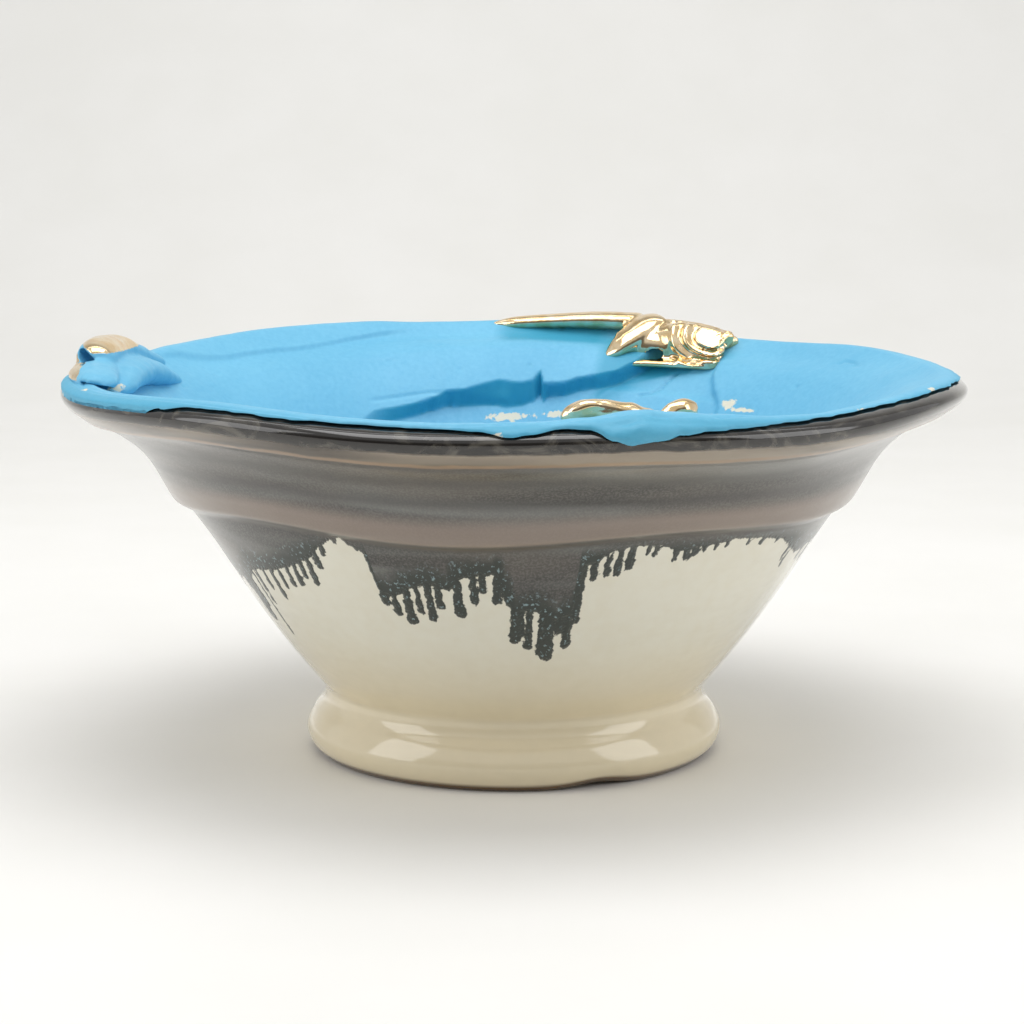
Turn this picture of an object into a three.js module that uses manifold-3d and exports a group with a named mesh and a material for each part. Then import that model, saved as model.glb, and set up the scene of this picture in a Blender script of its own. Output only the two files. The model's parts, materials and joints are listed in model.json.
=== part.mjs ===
// A hand-thrown ceramic bowl on a ring foot, lined with a thick blue slip. The slip laps over
// the lip in places and stands up in gilded folds at the back, at the left and behind the
// near rim.
//
// Millimetres, +Z up. The origin lies on the table under the middle of the bowl, and the
// front of the bowl faces -Y. Angles are in degrees round the bowl: 0 is the front, 90 the
// right (+X) and 180 the back. "Inward" is towards the axis.

import * as THREE from 'three';
import { mergeVertices } from 'three/addons/utils/BufferGeometryUtils.js';
import Module from 'manifold-3d';

const wasm = await Module();
wasm.setup();

// Sizes of the thrown bowl
const RIM_DIAMETER = 212;
const RIM_HEIGHT = 87; // widest line of the lip, above the table
const LIP_REACH = 5; // how far the lip stands out past the end of the wall
const LIP_DROP = 5; // from the widest line down to the lip's underside
const LIP_RISE = 2.4; // from the widest line up to the top of the lip
const WALL_THICKNESS = 5.7;
const FLOOR_THICKNESS = 7.5;
const FLOOR_DIAMETER = 52; // flat part of the inside floor
const RIDGE_HEIGHT = 61.6; // the step line round the outside
const RIDGE_STEP = 2.3; // how far the wall stands out over the line
const RIDGE_FADE = 15; // height in which the wall over the line runs back to the curve
const RIDGE_ROUNDING = 2.3; // half the height of the step itself
const NECK_DIAMETER = 90.6; // the crease between the wall and the foot
const FOOT_HEIGHT = 15.5;
const FOOT_DIAMETER = 99.8;
const FOOT_RING_WIDTH = 7; // the flat ring that the bowl stands on
const FOOT_ROUNDING = 3.2; // how far the foot's side tucks in at the table
const RECESS_DEPTH = 6;
const RECESS_DRAFT = 1.8; // how much narrower the recess is at its top
const NOTCH_RISE = 1.2; // a shallow dip in the foot's bottom edge
const NOTCH_ANGLE = 24;
const NOTCH_SPREAD = 9;

// Sizes of the slip
const BOND_GAP = 0.3;
const EDGE_GAP = 0.7; // the slip's edge stands a little off the rounded lip
const SLIP_THICKNESS = 2.1;
const SHEET_THICKNESS = 3; // the torn upper sheet of slip on top of the first coat
const FLAP_THICKNESS = 2.2; // extra slip where the front flap hangs over the lip
const SWELL_THICKNESS = 1.8; // the swelling to the right of the pulled channel
const EDGE_TAPER = 0.45; // the slip's thickness at its edge, as a share of what it is on the lip
const FOLD_SINK = 1.1; // how deep a fold is pressed into the slip under it

// The wall's curve, as shares of its own height and spread: it stays inside the straight
// line from foot to lip, and flares out at the top.
const WALL_HOLLOW = 0.6;
const HOLLOW_START = 2.5;
const HOLLOW_END = 0.62;

// Waves of the thrown rim and of the ridge: lobes round the bowl, rise, angle of a peak
const RIM_WAVES = [[1, 1.3, 180], [3, 0.8, -45], [7, 0.5, 12]];
const RIDGE_WAVES = [[5, 1.0, 27]];

// Numbers of facets
const COLUMNS = 64;
const CROWDING = 0.45; // how much closer the columns stand where the slip is folded
const CROWDED_ANGLE = 165;

const RIM_RADIUS = RIM_DIAMETER / 2;
const LIP_ROOT_RADIUS = RIM_RADIUS - LIP_REACH;
const LIP_ROOT_HEIGHT = RIM_HEIGHT - LIP_DROP;
const NECK_RADIUS = NECK_DIAMETER / 2;
const FOOT_RADIUS = FOOT_DIAMETER / 2;
const FLOOR_HEIGHT = RECESS_DEPTH + FLOOR_THICKNESS;

const { clamp, smoothstep, lerp, degToRad, radToDeg } = THREE.MathUtils;

const bump = (offset, spread) => Math.exp(-((offset / spread) ** 2));

const turnBetween = (angle, other) => ((angle - other + 540) % 360 + 360) % 360 - 180;

const waves = (list, angle) => list.reduce(
  (sum, [lobes, rise, peak]) => sum + rise * Math.cos(degToRad(lobes * (angle - peak))), 0);

const angleOf = (point) => radToDeg(Math.atan2(point.x, -point.y));

const around = (angle, radius, height) => new THREE.Vector3(
  radius * Math.sin(degToRad(angle)), -radius * Math.cos(degToRad(angle)), height);

// The thrown bowl's section, as [radius, height]

function wallRadius(height) {
  const share = clamp((height - FOOT_HEIGHT) / (LIP_ROOT_HEIGHT - FOOT_HEIGHT), 0, 1);
  const hollow = WALL_HOLLOW * share ** HOLLOW_START * (1 - share) ** HOLLOW_END;
  return lerp(NECK_RADIUS, LIP_ROOT_RADIUS, share - hollow);
}

function insideWall() {
  const shares = [0.08, 0.25, 0.42, 0.58, 0.74, 0.86, 0.95];
  return shares.map((share) => {
    const height = lerp(FOOT_HEIGHT, LIP_ROOT_HEIGHT, share);
    const spread = wallRadius(height + 0.5) - wallRadius(height - 0.5);
    const slope = new THREE.Vector2(spread, 1).normalize();
    return [wallRadius(height) - WALL_THICKNESS * slope.y, height + WALL_THICKNESS * slope.x];
  });
}

function insideFloor(firstWallPoint) {
  const corner = new THREE.QuadraticBezierCurve(
    new THREE.Vector2(FLOOR_DIAMETER / 2, FLOOR_HEIGHT),
    new THREE.Vector2(firstWallPoint[0] - WALL_THICKNESS / 2, FLOOR_HEIGHT),
    new THREE.Vector2(...firstWallPoint));
  return [[0, FLOOR_HEIGHT], [FLOOR_DIAMETER / 2, FLOOR_HEIGHT],
    ...[0.45, 0.75].map((share) => corner.getPoint(share).toArray())];
}

// Round the lip, from its top inside edge over the widest line to its chamfered underside
const LIP_ANGLES = [105, 70, 40, 12, -12, -35, -60];
const LIP_CHAMFER = 2.5;

function lip() {
  return LIP_ANGLES.map((degrees) => {
    const [across, up] = [Math.cos(degToRad(degrees)), Math.sin(degToRad(degrees))];
    const reach = degrees > 0 ? across : across ** LIP_CHAMFER;
    return [LIP_ROOT_RADIUS + LIP_REACH * reach, RIM_HEIGHT + (up > 0 ? LIP_RISE : LIP_DROP) * up];
  });
}

function outsideWall() {
  const [ridgeFoot, ridgeTop] = [RIDGE_HEIGHT - RIDGE_ROUNDING, RIDGE_HEIGHT + RIDGE_ROUNDING];
  const lift = (height) => RIDGE_STEP * smoothstep(height, ridgeFoot, ridgeTop)
    * (1 - smoothstep(height, ridgeTop, RIDGE_HEIGHT + RIDGE_FADE));
  const above = [0.9, 0.7, 0.4].map((share) => lerp(RIDGE_HEIGHT, LIP_ROOT_HEIGHT, share));
  const below = [0.82, 0.6, 0.4, 0.2].map((share) => lerp(FOOT_HEIGHT, RIDGE_HEIGHT, share));
  const ridge = [ridgeTop, RIDGE_HEIGHT, ridgeFoot];
  return [LIP_ROOT_HEIGHT, ...above, ...ridge, ...below].map(
    (height) => [wallRadius(height) + lift(height), height]);
}

function foot() {
  const recessRadius = FOOT_RADIUS - FOOT_ROUNDING - FOOT_RING_WIDTH;
  return [
    [NECK_RADIUS, FOOT_HEIGHT],
    [lerp(NECK_RADIUS, FOOT_RADIUS, 0.12), FOOT_HEIGHT * 0.8],
    [lerp(NECK_RADIUS, FOOT_RADIUS, 0.63), FOOT_HEIGHT * 0.61],
    [FOOT_RADIUS, FOOT_HEIGHT * 0.38],
    [FOOT_RADIUS - FOOT_ROUNDING * 0.25, FOOT_HEIGHT * 0.16],
    [FOOT_RADIUS - FOOT_ROUNDING, 0],
    [recessRadius, 0],
    [recessRadius - RECESS_DRAFT, RECESS_DEPTH],
    [0, RECESS_DEPTH],
  ];
}

const wallInside = insideWall();
const face = [...insideFloor(wallInside[0]), ...wallInside, ...lip()];
const bowlSection = [...face, ...outsideWall(), ...foot()];

// How the hand-thrown clay strays from a true turned shape
function clayHeight(angle, radius, height) {
  const rimShare = smoothstep(height, RIDGE_HEIGHT - 8, LIP_ROOT_HEIGHT);
  const outside = radius > wallRadius(height) - WALL_THICKNESS / 2;
  const ridgeShare = outside ? bump(height - RIDGE_HEIGHT, RIDGE_FADE / 2) : 0;
  const footShare = radius > FOOT_RADIUS * 0.8 ? 1 - smoothstep(height, 0, FOOT_HEIGHT / 2) : 0;
  return height + rimShare * waves(RIM_WAVES, angle) + ridgeShare * waves(RIDGE_WAVES, angle)
    + footShare * NOTCH_RISE * bump(turnBetween(angle, NOTCH_ANGLE), NOTCH_SPREAD);
}

// Directions that point out of the clay along the face that the slip covers
const faceNormals = face.map((point, index) => {
  const [before, after] = [face[Math.max(index - 1, 0)], face[Math.min(index + 1, face.length - 1)]];
  return new THREE.Vector2(before[1] - after[1], after[0] - before[0]).normalize();
});

const TOP_RING = face.length - LIP_ANGLES.length; // the ring at the lip's top inside edge
const WIDEST_RING = TOP_RING + 3;
const EDGE_RINGS = 5; // rings of the slip between the top of the lip and the slip's edge

function facePoint(ring, angle, lift) {
  const low = Math.min(Math.floor(ring), face.length - 2);
  const share = ring - low;
  const radius = lerp(face[low][0], face[low + 1][0], share);
  const height = lerp(face[low][1], face[low + 1][1], share);
  const normal = faceNormals[low].clone().lerp(faceNormals[low + 1], share).normalize();
  const outwardLift = radius > 0 ? lift * normal.x : 0;
  return [radius + outwardLift, clayHeight(angle, radius, height) + lift * normal.y];
}

// Shape of the slip round the bowl

// How far over the lip the slip hangs, in rings past the lip's top inside edge
const EDGE_AT_LIP = 1.3;
const LEFT_LAP = 2.2;
const FLAP_LAP = 3;

function slipEdge(angle) {
  const left = smoothstep(angle, -88, -76) * (1 - smoothstep(angle, -52, -38));
  const flap = smoothstep(angle, -12, 4) * (1 - smoothstep(angle, 18, 34));
  return EDGE_AT_LIP + LEFT_LAP * left + FLAP_LAP * flap;
}

// The torn edge of the upper sheet: angle from the back towards the left, and the distance
// from the axis as a share of the rim's radius
const TORN_EDGE = [[80, 0.42], [40, 0.585], [17, 0.711], [2.7, 0.774], [-1.1, 0.767],
  [-5.4, 0.80], [-6.4, 0.755], [-16, 0.789], [-20, 0.83]];

function tornRadius(fromBack) {
  const next = Math.max(TORN_EDGE.findIndex(([turn]) => turn <= fromBack), 1);
  const [start, end] = [TORN_EDGE[next - 1], TORN_EDGE[next]];
  return RIM_RADIUS * lerp(start[1], end[1], clamp((fromBack - start[0]) / (end[0] - start[0]), 0, 1));
}

const CHANNEL_LEFT = -20; // sides of the pulled channel, as angles from the back
const CHANNEL_RIGHT = -43;
const SHEET_END = [60, 120]; // where the upper sheet thins out, towards the left
const FLAP_ANGLE = 13;
const FLAP_SPREAD = 10;

function slipThickness(angle, radius) {
  const fromBack = turnBetween(angle, 180);
  const belowRim = 1 - smoothstep(radius, RIM_RADIUS * 0.85, RIM_RADIUS * 0.94);
  const flap = bump(radius - LIP_ROOT_RADIUS, LIP_REACH * 1.4)
    * bump(turnBetween(angle, FLAP_ANGLE), FLAP_SPREAD);
  const torn = tornRadius(fromBack);
  const sheet = fromBack > CHANNEL_LEFT
    ? (1 - smoothstep(fromBack, ...SHEET_END)) * smoothstep(radius, torn - 1.5, torn + 0.5) : 0;
  const swell = smoothstep(CHANNEL_RIGHT - fromBack, -1, 2) * bump(fromBack - CHANNEL_RIGHT, 22)
    * smoothstep(radius, RIM_RADIUS * 0.3, RIM_RADIUS * 0.6);
  return SLIP_THICKNESS + FLAP_THICKNESS * flap
    + belowRim * (SHEET_THICKNESS * sheet + SWELL_THICKNESS * swell);
}

function slipTop(ring, angle) {
  const [radius] = facePoint(ring, angle, 0);
  return facePoint(ring, angle, BOND_GAP + slipThickness(angle, radius));
}

function crest(angle) {
  return slipTop(TOP_RING, angle);
}

// Height of the slip's surface at a distance from the axis, up to the lip's widest line
function slipHeight(angle, radius) {
  for (let ring = 1; ring <= WIDEST_RING; ring += 1) {
    const [low, high] = [slipTop(ring - 1, angle), slipTop(ring, angle)];
    if (radius <= high[0]) {
      return lerp(low[1], high[1], clamp((radius - low[0]) / (high[0] - low[0]), 0, 1));
    }
  }
  return slipTop(WIDEST_RING, angle)[1];
}

// Closed bodies from three.js geometries

function closedBody(geometry) {
  geometry.deleteAttribute('normal');
  geometry.deleteAttribute('uv');
  const merged = mergeVertices(geometry, 1e-4);
  const position = merged.attributes.position;
  const index = merged.index.array;
  const kept = [];
  let facing = 0;
  const corners = [new THREE.Vector3(), new THREE.Vector3(), new THREE.Vector3()];
  for (let i = 0; i < index.length; i += 3) {
    const triangle = [index[i], index[i + 1], index[i + 2]];
    if (new Set(triangle).size === 3) {
      kept.push(triangle);
      triangle.forEach((vertex, side) => corners[side].fromBufferAttribute(position, vertex));
      facing += corners[0].dot(corners[1].cross(corners[2]));
    }
  }
  const outward = facing > 0 ? kept : kept.map(([a, b, c]) => [a, c, b]);
  return new wasm.Manifold(new wasm.Mesh({
    numProp: 3,
    vertProperties: Float32Array.from(position.array),
    triVerts: Uint32Array.from(outward.flat()),
  }));
}

// Turns a closed section round the axis and moves each point by a rule of its own.
// The rule is given the point's number in the section and its angle.
function turned(section, place) {
  const geometry = new THREE.LatheGeometry(section.map((point) => new THREE.Vector2(...point)), COLUMNS);
  const position = geometry.attributes.position;
  for (let i = 0; i < position.count; i += 1) {
    const column = Math.floor(i / section.length) % COLUMNS;
    const even = (column * 360) / COLUMNS;
    const crowd = radToDeg(CROWDING / 2) * Math.sin(2 * degToRad(even - CROWDED_ANGLE));
    const angle = turnBetween(even - crowd, 0);
    const [radius, height] = place(i % section.length, angle);
    position.setXYZ(i, ...around(angle, radius, height).toArray());
  }
  return closedBody(geometry);
}

function meshOf(name, body, material) {
  const { vertProperties, triVerts, numProp } = body.getMesh();
  const points = new Float32Array((vertProperties.length / numProp) * 3);
  for (let i = 0; i < points.length; i += 1) {
    points[i] = vertProperties[Math.floor(i / 3) * numProp + (i % 3)];
  }
  const geometry = new THREE.BufferGeometry();
  geometry.setAttribute('position', new THREE.BufferAttribute(points, 3));
  geometry.setIndex(new THREE.BufferAttribute(Uint32Array.from(triVerts), 1));
  geometry.computeVertexNormals();
  const mesh = new THREE.Mesh(geometry, material);
  mesh.name = name;
  return mesh;
}

function thrownBowl() {
  return turned(bowlSection, (index, angle) => {
    const [radius, height] = bowlSection[index];
    return [radius, clayHeight(angle, radius, height)];
  });
}

function slipShell() {
  const lastRing = TOP_RING + EDGE_RINGS;
  const under = [...Array(lastRing + 1).keys()];
  const section = [...under, ...under.toReversed()];
  return turned(section.map((ring, index) => [ring, index]), (index, angle) => {
    const edge = TOP_RING + slipEdge(angle);
    const place = Math.min(section[index], edge);
    const towardsEdge = clamp((place - TOP_RING) / (edge - TOP_RING), 0, 1);
    const gap = lerp(BOND_GAP, EDGE_GAP, towardsEdge);
    if (index < under.length) return facePoint(place, angle, gap);
    const [radius] = facePoint(place, angle, 0);
    return facePoint(place, angle, gap + lerp(1, EDGE_TAPER, towardsEdge) * slipThickness(angle, radius));
  });
}

// A fold of slip: a tube along a spine. Its stations are [angle, inward from the crest, up
// from the crest, half width, half height]. Whatever would sink deep into the slip under it
// is pressed up onto it.
function fold(stations, { steps = 10, sides = 8 } = {}) {
  const spine = new THREE.CatmullRomCurve3(stations.map(([angle, inward, up]) => {
    const [radius, height] = crest(angle);
    return around(angle, radius - inward, height + up);
  }));
  const halves = new THREE.SplineCurve(stations.map((station) => new THREE.Vector2(station[3], station[4])));
  const geometry = new THREE.CylinderGeometry(1, 1, 1, sides, steps);
  const position = geometry.attributes.position;
  const point = new THREE.Vector3();
  for (let i = 0; i < position.count; i += 1) {
    const share = clamp(position.getY(i) + 0.5, 0, 1);
    const tangent = spine.getTangent(share);
    const side = new THREE.Vector3(0, 0, 1).cross(tangent).normalize();
    const rise = tangent.clone().cross(side);
    const half = halves.getPoint(share);
    point.copy(spine.getPoint(share));
    point.addScaledVector(side, half.x * position.getX(i));
    point.addScaledVector(rise, half.y * position.getZ(i));
    const bed = slipHeight(angleOf(point), Math.hypot(point.x, point.y)) - FOLD_SINK;
    position.setXYZ(i, point.x, point.y, Math.max(point.z, bed));
  }
  return closedBody(geometry);
}

// The ribbon that leans inward over the back crest
function backRibbon() {
  return fold([
    [-175, 0.5, -0.3, 1.0, 0.8],
    [180, 1.4, 0.5, 3.4, 2.4],
    [173, 1.8, 0.8, 4.2, 2.9],
    [166, 2.0, 1.2, 4.4, 3.1],
    [158, 2.2, 1.5, 4.2, 3.0],
  ], { steps: 9, sides: 8 });
}

// The smooth limb that falls from the ribbon's end to the lump's lower left tip
function lumpLimb() {
  return fold([
    [157, 1.0, 1.6, 4.5, 3.2],
    [158.5, 6.5, 0.5, 4.6, 3.4],
    [161, 12.0, -3.6, 3.8, 2.8],
    [163.5, 17.0, -7.2, 1.6, 1.4],
  ], { steps: 7, sides: 10 });
}

// The body of the lump and the crescents that curl round on it
function lumpBody() {
  return fold([
    [160, 9.5, -5.2, 3.0, 1.8],
    [156, 8.5, -3.6, 6.2, 4.0],
    [150, 7.4, -2.4, 7.2, 5.0],
    [145, 7.4, -2.6, 6.6, 5.0],
    [142.5, 8.0, -3.0, 4.6, 3.8],
  ], { steps: 8, sides: 10 });
}

function lumpCrescent(inward, size) {
  const stations = [-100, -50, 0, 50, 95].map((degrees) => {
    const [across, up] = [Math.cos(degToRad(degrees)), Math.sin(degToRad(degrees))];
    return [149.5 + size * 1.15 * across, inward + 0.35 * size * -up, -1.8 + size * up, 1.1, 1.0];
  });
  return fold(stations, { steps: 8, sides: 6 });
}

// The curl at the left, standing on the lip
function leftCurl() {
  return fold([
    [-76, 0.6, -1.6, 2.0, 1.6],
    [-83, 1.0, 0.6, 4.6, 4.2],
    [-92, 2.2, 2.2, 5.6, 5.0],
    [-102, 3.4, 1.4, 5.8, 4.6],
    [-113, 4.0, -1.4, 3.6, 2.4],
  ], { steps: 9, sides: 10 });
}

// Hollows under the curl's gilded cap
function curlHollow(angle, inward, up, lengthHalf, heightHalf, slant) {
  const [radius, height] = crest(angle);
  const geometry = new THREE.SphereGeometry(1, 8, 6);
  geometry.scale(lengthHalf, 5, heightHalf);
  geometry.rotateY(degToRad(slant));
  const centre = around(angle, radius - inward, height + up);
  geometry.translate(centre.x, centre.y, centre.z);
  return closedBody(geometry);
}

// The two folds that peep over the near crest
function nearFolds() {
  return [
    fold([
      [4.5, 4.6, -2.8, 1.8, 1.6],
      [8.5, 4.8, -1.6, 3.6, 3.8],
      [12.5, 4.8, -2.0, 3.4, 3.4],
      [16.5, 4.6, -3.0, 1.8, 1.8],
    ], { steps: 6, sides: 8 }),
    fold([
      [17.5, 4.4, -2.4, 1.6, 1.6],
      [20.5, 4.6, -1.6, 2.8, 3.0],
      [23, 4.6, -2.4, 1.4, 1.6],
    ], { steps: 5, sides: 7 }),
  ];
}

function slipLining() {
  const folds = [backRibbon(), lumpLimb(), lumpBody(), lumpCrescent(2.4, 5.2), lumpCrescent(2.0, 2.8),
    leftCurl(), ...nearFolds()];
  const joined = folds.reduce((body, next) => body.add(next), slipShell());
  return joined
    .subtract(curlHollow(-84, 5.6, 0.4, 4.2, 1.5, 40))
    .subtract(curlHollow(-78, 5.4, -1.6, 4.2, 1.1, 16));
}

const glazedClay = new THREE.MeshStandardMaterial({ color: 0xd8d2bd, roughness: 0.2, metalness: 0 });
const blueSlip = new THREE.MeshStandardMaterial({ color: 0x4fa6cf, roughness: 0.75, metalness: 0 });

const bowlWithLining = new THREE.Group();
bowlWithLining.add(meshOf('bowl', thrownBowl(), glazedClay));
bowlWithLining.add(meshOf('slip_lining', slipLining(), blueSlip));

export default bowlWithLining;
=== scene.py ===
"""A footed ceramic bowl with a thick blue slip lining and gilded folds, dressed for render.

Lengths inside the functions are millimetres, angles are degrees round the bowl: 0 is the front
(-Y), 90 the right (+X) and 180 the back. "Inward" is towards the axis.
"""

import itertools
import json
import math

import bpy
import numpy as np
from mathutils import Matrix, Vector

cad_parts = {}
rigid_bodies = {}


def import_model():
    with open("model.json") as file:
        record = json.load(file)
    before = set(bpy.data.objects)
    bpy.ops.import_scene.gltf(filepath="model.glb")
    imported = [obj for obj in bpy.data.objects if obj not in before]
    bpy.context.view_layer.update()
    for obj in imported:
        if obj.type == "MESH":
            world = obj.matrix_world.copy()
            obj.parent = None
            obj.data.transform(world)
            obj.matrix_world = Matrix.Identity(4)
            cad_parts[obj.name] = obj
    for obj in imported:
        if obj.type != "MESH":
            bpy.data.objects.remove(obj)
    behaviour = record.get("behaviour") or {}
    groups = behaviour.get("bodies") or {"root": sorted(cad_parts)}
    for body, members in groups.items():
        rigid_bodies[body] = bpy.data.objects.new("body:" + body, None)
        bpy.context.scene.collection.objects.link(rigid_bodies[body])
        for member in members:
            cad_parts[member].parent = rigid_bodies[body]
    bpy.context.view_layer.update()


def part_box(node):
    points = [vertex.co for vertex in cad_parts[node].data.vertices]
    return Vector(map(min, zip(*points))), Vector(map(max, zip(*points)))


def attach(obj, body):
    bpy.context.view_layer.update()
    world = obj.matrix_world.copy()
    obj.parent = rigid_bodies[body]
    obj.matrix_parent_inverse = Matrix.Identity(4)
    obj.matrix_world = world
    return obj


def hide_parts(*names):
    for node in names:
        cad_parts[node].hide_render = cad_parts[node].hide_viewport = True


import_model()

bl_info = {
    "name": "Slip lined bowl",
    "version": (1, 0, 0),
    "blender": (4, 5, 0),
    "location": "3D View > Sidebar > Bowl",
    "description": "Models a glazed bowl with a slip lining and gilded folds",
    "category": "Add Mesh",
}

MM = 0.001


# Small helpers for curves and rules

def step(value, low, high):
    """0 up to low, 1 from high on, and smooth between them. The two may be given downwards."""
    share = np.clip((value - low) / (high - low), 0, 1)
    return share * share * (3 - 2 * share)


def bump(offset, spread):
    return np.exp(-(offset / spread) ** 2)


def lerp(start, end, share):
    return start + (end - start) * share


def turn(angle, other=0.0):
    """The turn from one angle to the other, between -180 and 180."""
    return (angle - other + 180) % 360 - 180


def waves(table, angle):
    return sum(rise * np.cos(np.radians(lobes * (angle - peak))) for lobes, rise, peak in table)


def along(table, angle):
    """Reads a value from [angle, value] pairs, smooth between them and round the bowl."""
    angles, values = np.array(sorted(table)).T
    angles = np.concatenate([angles - 360, angles, angles + 360])
    values = np.tile(values, 3)
    place = np.clip(np.searchsorted(angles, angle, side="right") - 1, 0, len(angles) - 2)
    share = (angle - angles[place]) / (angles[place + 1] - angles[place])
    return lerp(values[place], values[place + 1], share * share * (3 - 2 * share))


def around(angle, radius, height):
    """Points in millimetres from angles, distances from the axis and heights."""
    swing = np.radians(angle)
    return np.stack([radius * np.sin(swing), -radius * np.cos(swing), height + 0 * radius], axis=-1)


def cylindrical(points):
    """Angles, distances from the axis and heights of points."""
    return (np.degrees(np.arctan2(points[:, 0], -points[:, 1])),
            np.hypot(points[:, 0], points[:, 1]), points[:, 2])


def noise(points, size, seed):
    """Smooth random values from -1 to 1 with features of this size, the same on every run."""
    values = np.random.RandomState(seed).uniform(-1, 1, 4096)
    cell = points / size
    low = np.floor(cell).astype(np.int64)
    share = cell - low
    share = share * share * (3 - 2 * share)
    total = np.zeros(len(points))
    for corner in itertools.product((0, 1), repeat=3):
        weight = np.prod(np.where(corner, share, 1 - share), axis=1)
        place = low + corner
        mixed = place[:, 0] * 73856093 ^ place[:, 1] * 19349663 ^ place[:, 2] * 83492791
        total += weight * values[mixed & 4095]
    return total


# Meshes

def select_only(*pieces):
    for other in bpy.context.view_layer.objects:
        other.select_set(False)
    for piece in pieces:
        piece.select_set(True)
    bpy.context.view_layer.objects.active = pieces[0] if pieces else None


def places(piece):
    """The piece's vertices in millimetres."""
    flat = np.empty(len(piece.data.vertices) * 3)
    piece.data.vertices.foreach_get("co", flat)
    return flat.reshape(-1, 3) / MM


def move_to(piece, points):
    piece.data.vertices.foreach_set("co", (points * MM).ravel())
    piece.data.update()


def read(piece, name):
    values = np.empty(len(piece.data.vertices))
    piece.data.attributes[name].data.foreach_get("value", values)
    return values


def mark(piece, name, values):
    """Keeps one number for each vertex under this name."""
    attribute = piece.data.attributes.get(name)
    if attribute is None:
        attribute = piece.data.attributes.new(name, "FLOAT", "POINT")
    attribute.data.foreach_set("value", np.asarray(values, np.float32))


def apply_modifier(piece, kind, **settings):
    select_only(piece)
    modifier = piece.modifiers.new(kind.title(), kind)
    for name, value in settings.items():
        setattr(modifier, name, value)
    bpy.ops.object.modifier_apply(modifier=modifier.name)


def spun(name, section, columns):
    """Turns an open section of [radius, height] points, with its ends on the axis, to a closed
    body. Each vertex keeps the number of its point in the section as 'ring'."""
    select_only()
    bpy.ops.mesh.primitive_circle_add(vertices=len(section), radius=0.1)
    piece = bpy.context.object
    piece.name = name
    move_to(piece, np.array([(radius, 0, height) for radius, height in section]))
    mark(piece, "ring", np.arange(len(section)))
    bpy.ops.object.mode_set(mode="EDIT")
    bpy.ops.mesh.select_mode(type="EDGE")
    bpy.ops.mesh.select_all(action="DESELECT")
    bpy.ops.object.mode_set(mode="OBJECT")
    for edge in piece.data.edges:
        edge.select = set(edge.vertices) == {0, len(section) - 1}
    bpy.ops.object.mode_set(mode="EDIT")
    bpy.ops.mesh.delete(type="EDGE")
    bpy.ops.object.mode_set(mode="OBJECT")
    apply_modifier(piece, "SCREW", steps=columns, render_steps=columns, angle=2 * math.pi, axis="Z")
    bpy.ops.object.mode_set(mode="EDIT")
    bpy.ops.mesh.select_all(action="SELECT")
    bpy.ops.mesh.remove_doubles(threshold=1e-6)
    bpy.ops.mesh.normals_make_consistent(inside=False)
    bpy.ops.object.mode_set(mode="OBJECT")
    return piece


SMOOTH_ANGLE = 60


def finish_piece(piece, material, replaced):
    select_only(piece)
    bpy.ops.object.shade_smooth_by_angle(angle=math.radians(SMOOTH_ANGLE))
    piece.data.materials.clear()
    piece.data.materials.append(material)
    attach(piece, "root")
    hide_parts(replaced)


# The thrown form

# How the lip and the ridge wave round the bowl: lobes, rise, angle of a peak
RIM_WAVES = [(1, 1.3, 180), (3, 0.8, -45), (7, 0.5, 12)]
RIDGE_WAVES = [(5, 1.0, 27)]
WALL_HOLLOW = 0.6
HOLLOW_START = 2.5
HOLLOW_END = 0.62
RIDGE_FADE = 15
RIDGE_ROUNDING = 1.3
RECESS_DEPTH = 6
RECESS_DRAFT = 1.8
FOOT_RING_WIDTH = 7
LIP_RISE = 2.4
LIP_DROP = 5
LIP_CHAMFER = 2.5
LIP_STATIONS = [105, 70, 40, 12, -12, -35, -60]
RUNS_END = 30  # no run of glaze comes lower than this
CROWDING_TURN = 12.9
CROWDED_ANGLE = 165
FOOT_LIFT_ANGLE = 24  # the foot stands a little off the table here
FOOT_LIFT = 1.2
FOOT_LIFT_SPREAD = 9
COLUMNS = 600


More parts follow.
